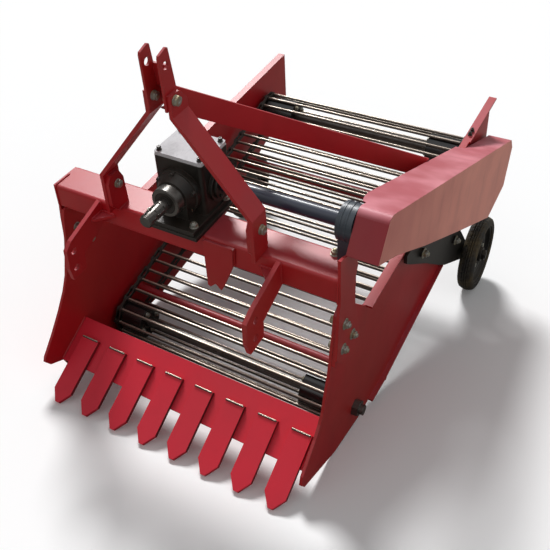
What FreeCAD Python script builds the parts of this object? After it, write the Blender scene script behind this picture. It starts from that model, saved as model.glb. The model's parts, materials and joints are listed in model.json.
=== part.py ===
"""Single-row potato harvester for a small tractor, in millimetres.

Floor frame: +X across the machine towards the chain guard, -Y forward to the tractor,
+Y to the rear, +Z up.  It is drawn with the tips of the digging blades at Y = 0 and
stored with the origin at the middle of its footprint on the floor.
The gearbox, beam and mast lean with the machine, so they are drawn level in the
beam frame (A rearward, B upward from the beam's front top edge) and then tipped.
"""
import FreeCAD, Part
import math
import os

V = FreeCAD.Vector
X_AXIS = V(1, 0, 0)

# stance
MACHINE_PITCH = 12.0
BEAM_Y = 127.0
BEAM_Z = 624.0
FOOTPRINT_MID_Y = 716.12

# front beam, a rectangular tube
BEAM_DEPTH = 100.0
BEAM_HEIGHT = 72.0
BEAM_WALL = 5.0
BEAM_CORNER = 9.0
BEAM_HALF = 421.0
END_PLATE_T = 8.0

# side walls
WALL_INNER_X = 403.0
WALL_T = 8.0
WALL_OUTER_X = WALL_INNER_X + WALL_T
TOP_FLANGE_W = 18.0
LOW_FLANGE_W = 14.0
FLANGE_T = 6.0
POST_Y = 168.0
POST_Z0 = 355.0
POST_Z1 = 552.0

# digging share
SHARE_HALF = 403.0
SHARE_T = 8.0
BLADE_COUNT = 8
BLADE_PITCH = 100.0
BLADE_W = 61.0
BLADE_T = 12.0
BLADE_SHIFT = 8.0
BLADE_L = 201.0
BLADE_POINT = 34.0
BLADE_NOSE_W = 12.0
SHARE_ANGLE = 39.0
SHARE_S0 = 115.0
SHARE_S1 = 254.0
SHARE_GAP = 0.2

# hitch and mast, beam frame
HITCH_X = 270.0
HITCH_T = 12.0
HITCH_HOLE_R = 10.0
HITCH_HOLE_A = -126.0
HITCH_HOLE_B = -76.0
HITCH_LOW_HOLE_A = -130.0
HITCH_LOW_HOLE_B = -128.0
MAST_X = 6.0
MAST_GAP = 42.0
MAST_T = 6.0
MAST_CHEEK = [(-34, 362), (28, 362), (28, 380), (9, 407), (-3, 505), (-9, 508), (-36, 499), (-38, 492)]
MAST_WEB = [(21, 362), (28, 362), (28, 380), (9, 407), (3, 461), (-3, 461), (3, 404), (21, 378)]
TOPLINK_R = 9.7
TOPLINK_A = -18.0
TOPLINK_B = 470.0
MAST_BOLT_A = -14.0
MAST_BOLT_B = 386.0
BOLT_BORE_R = 8.2
BOLT_R = 8.0
BOLT_ACROSS = 24.0
BOLT_HEAD = 10.0
NUT_H = 13.0
BOLT_TAIL = 3.0
COACH_HEAD = 4.0
COACH_HEAD_R = 14.0
LUG_BOLT_A = 4.0
LEG_HALF_W = 30.0
LEG_T = 10.0
LEG_TOP_X = 32.0
LEG_TOP_B = 402.0
LEG_TOP_SNIP = [(2, 403), (31, 403), (31, 370)]
LEG_BEND_B = 346.0
LEG_KNEE_X = 215.0
LEG_KNEE_B = 119.0
LEG_FOOT_B = 1.0
LUG_T = 11.0
LUG_TOP_B = 112.0
LUG_BOLT_B = 78.0

# bevel gearbox, beam frame
GEAR_X = -26.0
GEAR_W = 144.0
GEAR_A0 = 45.0
GEAR_A1 = 165.0
GEAR_B0 = 24.0
GEAR_B1 = 168.0
SHAFT_B = 86.0
CROSS_A = 108.0
NOSE_R = 62.0
NOSE_MID_R = 43.0
NOSE_WEB_W = 80.0
BOSS_R = 39.0
BOSS_END_A = -20.0
SIDE_BOSS_R = 46.0
CAP_R = 38.0
PTO_R = 17.4
PTO_GROOVE_R = 14.4
PTO_END_A = -102.0
CROSS_R = 19.0
RUNNING_FIT = 0.05
BEARING_R = 48.0
BEARING_X0 = 385.0
BEARING_X1 = 423.0
PEDESTAL_HALF = 42.0

# rod conveyor
FRONT_AXLE = (374.0, 78.0)
REAR_AXLE = (1262.0, 512.0)
WEB_R = 58.0
ROD_R = 5.0
ROD_COUNT = 58
CHAIN_X0 = 371.0
CHAIN_X1 = 389.0
CHAIN_HALF_H = 9.0
DRUM_R = 52.0
DRUM_X0 = 262.0
LEFT_DRUM_X0 = 296.0

# side drive
SPROCKET_X0 = 442.0
SPROCKET_X1 = 458.0
DRIVE_FRONT_R = 26.0
DRIVE_REAR_R = 50.0
DRIVE_HALF_H = 5.0
GUARD_X0 = 425.0
GUARD_X1 = 503.0
GUARD_T = 3.0
GUARD_FOLD_R = 26.0

# rear wheels
WHEEL_AXLE = (1300.0, 139.0)
WHEEL_R = 139.0
WHEEL_X0 = 450.0
WHEEL_X1 = 506.0
AXLE_R = 12.5

PARTS = {}


def keep(name, *shapes):
    """Store one named sub-part made of one or more separate solids."""
    solids = []
    for shape in shapes:
        solids.extend(shape.Solids)
    PARTS[name] = solids[0] if len(solids) == 1 else Part.makeCompound(solids)


def tip(shape):
    """Carry a shape from the level beam frame to the leaning machine."""
    moved = shape.copy()
    moved.rotate(V(0, 0, 0), X_AXIS, MACHINE_PITCH)
    moved.translate(V(0, BEAM_Y, BEAM_Z))
    return moved


def floor_point(a, b):
    """Floor-frame (Y, Z) of a beam-frame point."""
    angle = math.radians(MACHINE_PITCH)
    y = BEAM_Y + a * math.cos(angle) - b * math.sin(angle)
    z = BEAM_Z + a * math.sin(angle) + b * math.cos(angle)
    return (y, z)


def box(x0, x1, y0, y1, z0, z1):
    """Axis-aligned block between its limits."""
    return Part.makeBox(x1 - x0, y1 - y0, z1 - z0, V(x0, y0, z0))


def slab(points, x0, x1):
    """Side profile in (Y, Z) swept across X."""
    corners = [V(x0, y, z) for y, z in points]
    face = Part.Face(Part.makePolygon(corners + corners[:1]))
    return face.extrude(V(x1 - x0, 0, 0))


def front_slab(points, y0, y1):
    """Front profile in (X, Z) swept along Y."""
    corners = [V(x, y0, z) for x, z in points]
    face = Part.Face(Part.makePolygon(corners + corners[:1]))
    return face.extrude(V(0, y1 - y0, 0))


def rod_x(radius, x0, x1, y, z):
    """Round bar along X."""
    return Part.makeCylinder(radius, x1 - x0, V(x0, y, z), X_AXIS)


def rod_y(radius, y0, y1, x, z):
    """Round bar along Y."""
    return Part.makeCylinder(radius, y1 - y0, V(x, y0, z), V(0, 1, 0))


def hex_x(across, x0, x1, y, z):
    """Hexagon bar along X, for bolt heads and nuts."""
    r = across / math.sqrt(3)
    turns = [math.radians(60 * i + 30) for i in range(6)]
    return slab([(y + r * math.cos(t), z + r * math.sin(t)) for t in turns], x0, x1)


def mirror_x(shape):
    """Same piece on the other side."""
    return shape.mirror(V(0, 0, 0), X_AXIS)


def edge_strip(path, thick, x0, x1, side):
    """Flange that follows a (Y, Z) path, laid on the chosen side of it."""
    pieces = []
    for (y0, z0), (y1, z1) in zip(path, path[1:]):
        length = math.hypot(y1 - y0, z1 - z0)
        ny = -side * (z1 - z0) / length * thick
        nz = side * (y1 - y0) / length * thick
        pieces.append(slab([(y0, z0), (y1, z1), (y1 + ny, z1 + nz), (y0 + ny, z0 + nz)], x0, x1))
    for (y, z) in path[1:-1]:
        pieces.append(rod_x(thick, x0, x1, y, z))
    strip = pieces[0]
    for piece in pieces[1:]:
        strip = strip.fuse(piece)
    return strip


def belt_loop(c0, r0, c1, r1, half, x0, x1):
    """Closed band of even thickness around two wheels."""
    def outline(grow):
        dy, dz = c1[0] - c0[0], c1[1] - c0[1]
        span = math.hypot(dy, dz)
        ra, rb = r0 + grow, r1 + grow
        head = math.atan2(dz, dy)
        lean = math.acos((ra - rb) / span)

        def at(c, r, t):
            return V(x0, c[0] + r * math.cos(t), c[1] + r * math.sin(t))

        up, low = head + lean, head - lean
        top = Part.LineSegment(at(c0, ra, up), at(c1, rb, up)).toShape()
        rear = Part.Arc(at(c1, rb, up), at(c1, rb, head), at(c1, rb, low)).toShape()
        base = Part.LineSegment(at(c1, rb, low), at(c0, ra, low)).toShape()
        front = Part.Arc(at(c0, ra, low), at(c0, ra, head + math.pi), at(c0, ra, up)).toShape()
        return Part.Face(Part.Wire([top, rear, base, front]))
    outer = outline(half).extrude(V(x1 - x0, 0, 0))
    inner = outline(-half).extrude(V(x1 - x0, 0, 0))
    return outer.cut(inner)


# ---------------------------------------------------------------- frame
def make_beam():
    """Rectangular tube with rounded corners."""
    outer = box(-BEAM_HALF, BEAM_HALF, 0, BEAM_DEPTH, -BEAM_HEIGHT, 0)
    along = [e for e in outer.Edges if abs(e.tangentAt(e.FirstParameter).x) > 0.9]
    outer = outer.makeFillet(BEAM_CORNER, along)
    inner = box(-BEAM_HALF, BEAM_HALF, BEAM_WALL, BEAM_DEPTH - BEAM_WALL,
                -BEAM_HEIGHT + BEAM_WALL, -BEAM_WALL)
    along = [e for e in inner.Edges if abs(e.tangentAt(e.FirstParameter).x) > 0.9]
    inner = inner.makeFillet(BEAM_CORNER - BEAM_WALL, along)
    return tip(outer.cut(inner))


WALL_NOSE = [(77, 38), (57, 58), (60, 84), (86, 117), (118, 156), (140, 190), (151, 220), (158, 279),
             (166, 327), (168, 500)]
LEFT_NOSE = [(118, 30), (95, 66), (42, 83), (21, 104), (24, 120), (38, 142),
             (60, 178), (92, 238), (117, 295),
             (129, 340), (134, 400), (137, 453), (134, 520), (136, 550)]
WALL_TOP = [(279, 475), (355, 425), (365, 421), (1404, 691)]
WALL_REAR = [(1440, 510), (1402, 425), (1130, 262)]
WALL_LOW = [(1066, 184), (590, 32), (490, 16), (420, 4), (262, 3)]
GUARD_NOTCH = (1060, 1130, 560, 640)
FRONT_BORE_R = 15.0
REAR_BORE_R = 24.0


def make_wall(side):
    """Side wall plate with outward flanges along its front, top and bottom edges."""
    under_beam = [floor_point(BEAM_DEPTH, -BEAM_HEIGHT), (262, 560)]
    outline = (WALL_NOSE if side > 0 else LEFT_NOSE) + under_beam + WALL_TOP + WALL_REAR + WALL_LOW
    x0, x1 = WALL_INNER_X, WALL_OUTER_X
    wall = slab(outline, x0, x1)
    wall = wall.fuse(edge_strip(WALL_TOP[2:], FLANGE_T, x1, x1 + TOP_FLANGE_W, -1))
    wall = wall.fuse(edge_strip(WALL_LOW[:3], FLANGE_T, x1, x1 + LOW_FLANGE_W, -1))
    wall = wall.fuse(box(x1, BEAM_HALF, POST_Y, POST_Y + FLANGE_T, POST_Z0, POST_Z1))
    if side > 0:
        y0, y1, z0, z1 = GUARD_NOTCH
        wall = wall.cut(box(GUARD_X0 - 0.5, GUARD_X0 + 9, y0, y1, z0, z1))
    for (y, z), r in ((FRONT_AXLE, FRONT_BORE_R), (REAR_AXLE, REAR_BORE_R)):
        wall = wall.cut(rod_x(r, x0 - 1, x1 + 1, y, z))
    wall = wall.removeSplitter()
    return wall if side > 0 else mirror_x(wall)


# end plates of the beam, beam frame
END_FRONT = [(66, -306), (14, -284), (-20, -242), (-14, -171), (-9, -109), (0, -72), (0, 62), (16, 58),
             (58, 41)]
END_REAR = [(94, 34), (94, -24), (84, -46), (81, -125), (117, -306), (98, -316)]
LEFT_END = [(66, -306), (14, -284), (-12, -242), (-8, -171), (-3, -109), (2, -72), (2, 0), (94, 0)]


def make_end_plate(side):
    """Plate welded across the end of the beam and bolted down the outside of the wall."""
    x0, x1 = BEAM_HALF, BEAM_HALF + END_PLATE_T
    if side < 0:
        return tip(mirror_x(slab(LEFT_END + END_REAR[1:], x0, x1)))
    plate = slab(END_FRONT + END_REAR, x0, x1)
    return tip(plate.cut(rod_x(BEARING_R + 0.5, x0 - 1, x1 + 1, CROSS_A, SHAFT_B)))


def lay_on_share(shape):
    """Tip a shape drawn flat to the slope of the share."""
    shape.rotate(V(0, 0, 0), X_AXIS, SHARE_ANGLE)
    return shape


def make_share():
    """Sloping share plate between the walls."""
    return lay_on_share(box(-SHARE_HALF, SHARE_HALF, SHARE_S0, SHARE_S1, -SHARE_T - SHARE_GAP, -SHARE_GAP))


def make_blades():
    """Arrow-pointed digging blades lying side by side on the share plate."""
    blades = []
    for i in range(BLADE_COUNT):
        x = (i - (BLADE_COUNT - 1) / 2) * BLADE_PITCH + BLADE_SHIFT
        half, nose = BLADE_W / 2, BLADE_NOSE_W / 2
        plan = [V(x - nose, 0, 0), V(x + nose, 0, 0), V(x + half, BLADE_POINT, 0),
                V(x + half, BLADE_L, 0), V(x - half, BLADE_L, 0), V(x - half, BLADE_POINT, 0)]
        face = Part.Face(Part.makePolygon(plan + plan[:1]))
        blades.append(lay_on_share(face.extrude(V(0, 0, BLADE_T))))
    return blades


keep("front_beam", make_beam())
keep("side_wall_left", make_wall(-1))
keep("side_wall_right", make_wall(1))
keep("beam_end_plates", make_end_plate(-1), make_end_plate(1))
keep("share_plate", make_share())
keep("share_blades", *make_blades())

# ---------------------------------------------------------------- hitch
HITCH_PROFILE = [(0, 0), (-130, -38), (-165, -56), (-168, -118), (-157, -158), (-96, -156), (-92, -108),
                 (0, -72)]


LEFT_HITCH_PROFILE = [(0, 0), (-128, -42), (-150, -60), (-154, -118), (-148, -158), (-96, -156), (-92, -108),
                      (0, -72)]


def make_hitch(x):
    """Lower link bracket, a hooked plate in front of the beam."""
    outline = HITCH_PROFILE if x > 0 else LEFT_HITCH_PROFILE
    plate = slab(outline, x - HITCH_T / 2, x + HITCH_T / 2)
    for a, b in ((HITCH_HOLE_A, HITCH_HOLE_B), (HITCH_LOW_HOLE_A, HITCH_LOW_HOLE_B)):
        plate = plate.cut(rod_x(HITCH_HOLE_R, x - HITCH_T, x + HITCH_T, a, b))
    return tip(plate)


keep("hitch_bracket_left", make_hitch(-HITCH_X))
keep("hitch_bracket_right", make_hitch(HITCH_X))

GUSSET_T = 8.0
GUSSET_LEG = 46.0


def make_hitch_gussets():
    """Small corner plates between beam and hitch brackets."""
    pieces = []
    for side in (-1, 1):
        x = side * (HITCH_X - HITCH_T / 2)
        far = x - side * GUSSET_LEG
        plan = [V(x, 0, -40), V(far, 0, -40), V(x, -GUSSET_LEG, -40)]
        face = Part.Face(Part.makePolygon(plan + plan[:1]))
        pieces.append(tip(face.extrude(V(0, 0, GUSSET_T))))
    return pieces


keep("hitch_gussets", *make_hitch_gussets())
CENTRE_PROFILE = [(64, -6), (150, -6), (146, -60), (112, -140), (104, -156), (88, -140), (72, -156),
                  (64, -152)]
keep("centre_bracket", tip(front_slab(CENTRE_PROFILE, -10, 0)))

# ---------------------------------------------------------------- mast
def place_mast(shape, side=1):
    """Mirror a mast piece about the mast's own centre plane and tip it."""
    shape = shape if side > 0 else mirror_x(shape)
    shape.translate(V(MAST_X, 0, 0))
    return tip(shape)


def make_mast_bracket():
    """Channel at the top of the mast that takes the top link."""
    half = MAST_GAP / 2
    body = slab(MAST_CHEEK, half, half + MAST_T)
    body = body.fuse(mirror_x(body)).fuse(slab(MAST_WEB, -half, half))
    body = body.cut(rod_x(TOPLINK_R, -60, 60, TOPLINK_A, TOPLINK_B))
    body = body.cut(rod_x(BOLT_BORE_R, -60, 60, MAST_BOLT_A, MAST_BOLT_B))
    return place_mast(body.removeSplitter())


def make_mast_leg(side):
    """Flat bar bent out from the mast head down to the beam."""
    mid = [(LEG_TOP_X, LEG_TOP_B), (LEG_TOP_X, LEG_BEND_B), (LEG_KNEE_X, LEG_KNEE_B),
           (LEG_KNEE_X, LEG_FOOT_B)]
    slope = math.atan2(LEG_KNEE_B - LEG_BEND_B, LEG_KNEE_X - LEG_TOP_X)
    shift = LEG_T / 2 * math.tan((slope + math.pi / 2) / 2)
    h = LEG_T / 2
    outer = [(LEG_TOP_X + h, LEG_TOP_B), (LEG_TOP_X + h, LEG_BEND_B + shift),
             (LEG_KNEE_X + h, LEG_KNEE_B + shift), (LEG_KNEE_X + h, LEG_FOOT_B)]
    inner = [(LEG_KNEE_X - h, LEG_FOOT_B), (LEG_KNEE_X - h, LEG_KNEE_B - shift),
             (LEG_TOP_X - h, LEG_BEND_B - shift), (LEG_TOP_X - h, LEG_TOP_B)]
    leg = front_slab(outer + inner, -LEG_HALF_W, LEG_HALF_W)
    leg = leg.cut(slab(LEG_TOP_SNIP, 0, LEG_TOP_X + LEG_T))
    leg = leg.cut(rod_x(BOLT_BORE_R, 0, 300, MAST_BOLT_A, MAST_BOLT_B))
    leg = leg.cut(rod_x(BOLT_BORE_R, 0, 300, LUG_BOLT_A, LUG_BOLT_B))
    return place_mast(leg, side)


def make_lug(side):
    """Upright plate welded over the front edge of the beam for a mast leg."""
    x1 = LEG_KNEE_X - LEG_T / 2
    lug = slab([(-28, 24), (-8, 0), (34, 0), (30, 84), (16, LUG_TOP_B), (-16, LUG_TOP_B), (-28, 90)],
               x1 - LUG_T, x1)
    return place_mast(lug.cut(rod_x(BOLT_BORE_R, 0, 300, LUG_BOLT_A, LUG_BOLT_B)), side)


def make_mast_bolts():
    """Bolt through each side of the mast head and one through each leg foot."""
    reach = LEG_TOP_X + LEG_T / 2
    gap = MAST_GAP / 2
    tail = rod_x(BOLT_R, gap - NUT_H - BOLT_TAIL, reach, MAST_BOLT_A, MAST_BOLT_B)
    tail = tail.fuse(hex_x(BOLT_ACROSS, gap - NUT_H, gap, MAST_BOLT_A, MAST_BOLT_B))
    hexed = tail.fuse(hex_x(BOLT_ACROSS, reach, reach + BOLT_HEAD, MAST_BOLT_A, MAST_BOLT_B))
    domed = tail.fuse(rod_x(COACH_HEAD_R, reach, reach + COACH_HEAD, MAST_BOLT_A, MAST_BOLT_B))
    bolts = [place_mast(hexed), place_mast(domed, -1)]
    x0 = LEG_KNEE_X - LEG_T / 2 - LUG_T
    x1 = LEG_KNEE_X + LEG_T / 2
    foot = rod_x(BOLT_R, x0 - NUT_H, x1 + BOLT_HEAD, LUG_BOLT_A, LUG_BOLT_B)
    foot = foot.fuse(hex_x(BOLT_ACROSS, x1, x1 + BOLT_HEAD, LUG_BOLT_A, LUG_BOLT_B))
    foot = foot.fuse(hex_x(BOLT_ACROSS, x0 - NUT_H, x0, LUG_BOLT_A, LUG_BOLT_B))
    for side in (1, -1):
        bolts.append(place_mast(foot.copy(), side))
    return bolts


STAY_W = 57.0
STAY_T = 10.0
STAY_START = (-6.0, 64.0, 989.0)
STAY_END = (403.0, 806.0, 640.0)
FOOT_Y0 = 754.0
FOOT_Y1 = 816.0
FOOT_Z0 = 455.0
FOOT_Z1 = 652.0
FOOT_T = 8.0


def make_stay():
    """Flat bar from the mast head back and down to the right wall."""
    s, e = V(*STAY_START), V(*STAY_END)
    run = e - s
    length = run.Length
    x_dir = V(run).normalize()
    side = V(0, 0, 1).cross(x_dir).normalize()
    up = x_dir.cross(side)
    bar = box(0, length, -STAY_T / 2, STAY_T / 2, -STAY_W / 2, STAY_W / 2)
    turn = FreeCAD.Rotation(x_dir, side, up, "ZYX")
    bar.Placement = FreeCAD.Placement(s, turn)
    foot_face = box(WALL_INNER_X - FOOT_T, s.x + length, s.y, e.y + length, 0, s.z + length)
    head = slab(MAST_CHEEK, -LEG_TOP_X, LEG_TOP_X)
    reach = LEG_TOP_X + LEG_T
    head = head.fuse(box(-reach, reach, -LEG_HALF_W, LEG_HALF_W, LEG_BEND_B, LEG_TOP_B))
    return bar.cut(foot_face).cut(place_mast(head))


keep("mast_bracket", make_mast_bracket())
keep("mast_leg_left", make_mast_leg(-1))
keep("mast_leg_right", make_mast_leg(1))
keep("mast_lugs", make_lug(-1), make_lug(1))
keep("mast_bolts", *make_mast_bolts())
keep("mast_stay", make_stay())
keep("stay_foot", box(WALL_INNER_X - FOOT_T, WALL_INNER_X, FOOT_Y0, FOOT_Y1, FOOT_Z0, FOOT_Z1))

# ---------------------------------------------------------------- gearbox
def make_housing():
    """Cast housing with a round nose for the input shaft and a foot flange."""
    x0, x1 = GEAR_X - GEAR_W / 2, GEAR_X + GEAR_W / 2
    body = box(x0, x1, GEAR_A0, GEAR_A1, GEAR_B0, GEAR_B1)
    up = [e for e in body.Edges if abs(e.tangentAt(e.FirstParameter).z) > 0.9]
    body = body.makeFillet(12, up)
    body = body.fuse(rod_y(NOSE_R, 30, GEAR_A0 + 5, GEAR_X, SHAFT_B))
    cone = Part.makeCone(NOSE_MID_R, NOSE_R - 4, 23, V(GEAR_X, 8, SHAFT_B), V(0, 1, 0))
    body = body.fuse(cone).fuse(rod_y(BOSS_R, BOSS_END_A, 10, GEAR_X, SHAFT_B))
    body = body.fuse(box(x0 - 6, x1 + 6, -26, GEAR_A1 - 12, 10, 24))
    body = body.fuse(box(GEAR_X - NOSE_WEB_W / 2, GEAR_X + NOSE_WEB_W / 2, 10, GEAR_A0, 24, SHAFT_B))
    body = body.fuse(rod_x(SIDE_BOSS_R, x1 - 5, x1 + 10, CROSS_A, SHAFT_B))
    body = body.fuse(rod_x(SIDE_BOSS_R, x0 - 8, x0 + 5, CROSS_A, SHAFT_B))
    body = body.cut(rod_y(PTO_R + RUNNING_FIT, -40, 30, GEAR_X, SHAFT_B))
    body = body.cut(rod_x(CROSS_R + RUNNING_FIT, x1 - 30, x1 + 20, CROSS_A, SHAFT_B))
    return tip(body.removeSplitter())


def make_cover():
    """Flat lid with rounded corners."""
    x0, x1 = GEAR_X - GEAR_W / 2 + 2, GEAR_X + GEAR_W / 2 - 2
    lid = box(x0, x1, GEAR_A0 + 2, GEAR_A1 - 2, GEAR_B1, GEAR_B1 + 10)
    up = [e for e in lid.Edges if abs(e.tangentAt(e.FirstParameter).z) > 0.9]
    return tip(lid.makeFillet(8, up))


def make_cap():
    """Ring cap bolted over a bearing seat."""
    x1 = GEAR_X + GEAR_W / 2
    ring = rod_x(CAP_R, x1 + 10, x1 + 18, CROSS_A, SHAFT_B)
    return tip(ring.cut(rod_x(CROSS_R + RUNNING_FIT, x1, x1 + 30, CROSS_A, SHAFT_B)))


def make_pto():
    """Splined input shaft with a locking groove and chamfered end."""
    shaft = rod_y(PTO_R, PTO_END_A, 30, GEAR_X, SHAFT_B)
    ends = [e for e in shaft.Edges if abs(e.CenterOfMass.y - PTO_END_A) < 0.1 and e.Length > 50]
    shaft = shaft.makeChamfer(3, ends[:1])
    for i in range(6):
        slot = box(GEAR_X - 4.6, GEAR_X + 4.6, PTO_END_A - 1, -42, SHAFT_B + 14.6, SHAFT_B + 20)
        slot.rotate(V(GEAR_X, 0, SHAFT_B), V(0, 1, 0), 60 * i)
        shaft = shaft.cut(slot)
    groove = rod_y(PTO_R + 2, -76, -68, GEAR_X, SHAFT_B).cut(rod_y(PTO_GROOVE_R, -77, -67, GEAR_X, SHAFT_B))
    return tip(shaft.cut(groove))


GEAR_FACE_X = GEAR_X + GEAR_W / 2
keep("gearbox_mount", tip(box(GEAR_X - 84, GEAR_X + 86, -28, GEAR_A1, 0, 10)))
keep("gearbox_housing", make_housing())
keep("gearbox_cover", make_cover())
keep("gearbox_cap", make_cap())
keep("pto_shaft", make_pto())
CROSS_END_R = 14.0
cross = rod_x(CROSS_R, GEAR_FACE_X - 29, SPROCKET_X0 - 2, CROSS_A, SHAFT_B)
cross = cross.fuse(rod_x(CROSS_END_R, SPROCKET_X0 - 2, SPROCKET_X1 + 4, CROSS_A, SHAFT_B))
keep("cross_shaft", tip(cross))


def make_shaft_bearing():
    """Round bearing housing with a recessed outer face, on a pedestal on the beam."""
    bore = rod_x(CROSS_R + RUNNING_FIT, BEARING_X0 - 5, BEARING_X1 + 5, CROSS_A, SHAFT_B)
    drum = rod_x(BEARING_R, BEARING_X0, BEARING_X1, CROSS_A, SHAFT_B)
    foot = box(BEARING_X0 + 4, BEAM_HALF - 1, CROSS_A - PEDESTAL_HALF, BEAM_DEPTH, 0, SHAFT_B - 10)
    drum = drum.fuse(foot).removeSplitter()
    drum = drum.cut(rod_x(BEARING_R - 12, BEARING_X1 - 6, BEARING_X1 + 1, CROSS_A, SHAFT_B))
    return tip(drum.cut(bore))


keep("shaft_bearing", make_shaft_bearing())

# ---------------------------------------------------------------- side drive
CROSS_Y, CROSS_Z = floor_point(CROSS_A, SHAFT_B)


def make_front_sprocket():
    """Driving chain wheel on the end of the cross shaft."""
    r = DRIVE_FRONT_R - DRIVE_HALF_H - 0.5
    wheel = rod_x(r, SPROCKET_X0, SPROCKET_X1, CROSS_Y, CROSS_Z)
    return wheel.cut(rod_x(CROSS_END_R + RUNNING_FIT, SPROCKET_X0 - 1, SPROCKET_X1 + 1, CROSS_Y, CROSS_Z))


GUARD_TOP = [(194, 786), (1417, 548), (1455, 507), (1431, 364)]
GUARD_LIP = [(426, 240), (414, 246), (405, 275), (397, 322), (397, 1080), (426, 1080)]
GUARD_LOW = [(1259, 310), (917, 422), (505, 562), (273, 648), (148, 682)]


def fold_corners(shape, corners, radius):
    """Round the edges along X that pass near the named (Y, Z) corners."""
    found = []
    for edge in shape.Edges:
        middle = edge.CenterOfMass
        straight = abs(edge.tangentAt(edge.FirstParameter).x) > 0.9
        if straight and min(math.hypot(middle.y - y, middle.z - z) for y, z in corners) < GUARD_T:
            found.append(edge)
    return shape.makeFillet(radius, found)


def make_guard_lip():
    """Strip that widens the cover's top, in its slope, over the wall's edge."""
    (y0, z0), (y1, z1) = GUARD_TOP[:2]
    corners = [V(x, y, z0 + (y - y0) * (z1 - z0) / (y1 - y0)) for x, y in GUARD_LIP]
    face = Part.Face(Part.makePolygon(corners + corners[:1]))
    return face.extrude(V(0, 0, -GUARD_T))


def make_guard():
    """Folded sheet cover, open towards the wall and underneath."""
    t, deep = GUARD_T, GUARD_T + 17
    top, low = GUARD_TOP, GUARD_LOW
    shell = fold_corners(slab(top + low, GUARD_X0, GUARD_X1), top[:2], GUARD_FOLD_R)
    hollow = [(top[0][0] + t, top[0][1] - t), (top[1][0] - 1, top[1][1] - t)]
    hollow += [(top[2][0] - t, top[2][1] - 1), (top[3][0] - t, top[3][1] + 1), (top[3][0] - t - 8, 290)]
    hollow += [(y - 8, z - deep) for y, z in low[:4]]
    hollow += [(low[4][0] - t, low[4][1] - deep), (low[4][0] + t, low[4][1] + 1)]
    cavity = fold_corners(slab(hollow, GUARD_X0 - 1, GUARD_X1 - t), hollow[:2], GUARD_FOLD_R - t)
    return shell.cut(cavity).fuse(make_guard_lip()).removeSplitter()


GUARD_BARS = [(BEAM_HALF + END_PLATE_T, 188.0, 222.0, 670.5), (WALL_OUTER_X, 1000.0, 1040.0, 559.0)]
keep("guard_brackets", *[box(x, GUARD_X1 - GUARD_T, y0, y1, z, z + 6) for x, y0, y1, z in GUARD_BARS])
keep("drive_sprocket", make_front_sprocket())
keep("drive_chain", belt_loop((CROSS_Y, CROSS_Z), DRIVE_FRONT_R, REAR_AXLE, DRIVE_REAR_R,
                              DRIVE_HALF_H, SPROCKET_X0 + 2, SPROCKET_X1 - 2))
keep("chain_guard", make_guard())

# ---------------------------------------------------------------- conveyor
def web_point(t):
    """Centre of the rod web at a share t of its closed length."""
    (y0, z0), (y1, z1) = FRONT_AXLE, REAR_AXLE
    run = math.hypot(y1 - y0, z1 - z0)
    head = math.atan2(z1 - z0, y1 - y0)
    arc = math.pi * WEB_R
    s = t * (2 * run + 2 * arc)
    if s < run:
        return (y0 + math.cos(head) * s - WEB_R * math.sin(head),
                z0 + math.sin(head) * s + WEB_R * math.cos(head))
    s -= run
    if s < arc:
        turn = head + math.pi / 2 - s / WEB_R
        return (y1 + WEB_R * math.cos(turn), z1 + WEB_R * math.sin(turn))
    s -= arc
    if s < run:
        return (y1 - math.cos(head) * s + WEB_R * math.sin(head),
                z1 - math.sin(head) * s - WEB_R * math.cos(head))
    s -= run
    turn = head - math.pi / 2 - s / WEB_R
    return (y0 + WEB_R * math.cos(turn), z0 + WEB_R * math.sin(turn))


def make_rods():
    """Cross rods of the conveyor, evenly spaced round the loop."""
    rods = []
    for i in range(ROD_COUNT):
        y, z = web_point((i + 0.5) / ROD_COUNT)
        rods.append(rod_x(ROD_R, -CHAIN_X0, CHAIN_X0, y, z))
    return rods


web_chain = belt_loop(FRONT_AXLE, WEB_R, REAR_AXLE, WEB_R, CHAIN_HALF_H, CHAIN_X0, CHAIN_X1)
keep("web_chains", web_chain, mirror_x(web_chain))
keep("web_rods", *make_rods())


def make_drum(axle, side, bore, inner=DRUM_X0):
    """Side drum that carries the rods, with a disc under the chain."""
    y, z = axle
    drum = rod_x(DRUM_R, inner, CHAIN_X0 - 1, y, z)
    drum = drum.fuse(rod_x(WEB_R - CHAIN_HALF_H - 1, CHAIN_X0 - 1, CHAIN_X1, y, z))
    drum = drum.cut(rod_x(bore, 0, 500, y, z))
    return drum if side > 0 else mirror_x(drum)


SHAFT_R = 17.5
IDLER_R = 15.0
IDLER_NUT_ACROSS = 42.0
IDLER_NUT_H = 18.0
IDLER_END = 30.0
FLANGE_R = 44.0
FLANGE_BEARING_T = 8.0
HUSK_R = 28.0
HUSK_T = 18.0
SPROCKET_HUB_R = 30.0
keep("web_drums_rear", make_drum(REAR_AXLE, 1, SHAFT_R), make_drum(REAR_AXLE, -1, SHAFT_R))
right_drum = make_drum(FRONT_AXLE, 1, IDLER_R)
keep("web_drums_front", right_drum, make_drum(FRONT_AXLE, -1, IDLER_R, LEFT_DRUM_X0))


def make_idler_axle():
    """Front axle with a nut outside each wall."""
    y, z = FRONT_AXLE
    axle = rod_x(IDLER_R, -WALL_OUTER_X - IDLER_END, WALL_OUTER_X + IDLER_END, y, z)
    for side in (1, -1):
        nut = hex_x(IDLER_NUT_ACROSS, WALL_OUTER_X, WALL_OUTER_X + IDLER_NUT_H, y, z)
        axle = axle.fuse(nut if side > 0 else mirror_x(nut))
    return axle.removeSplitter()


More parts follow.
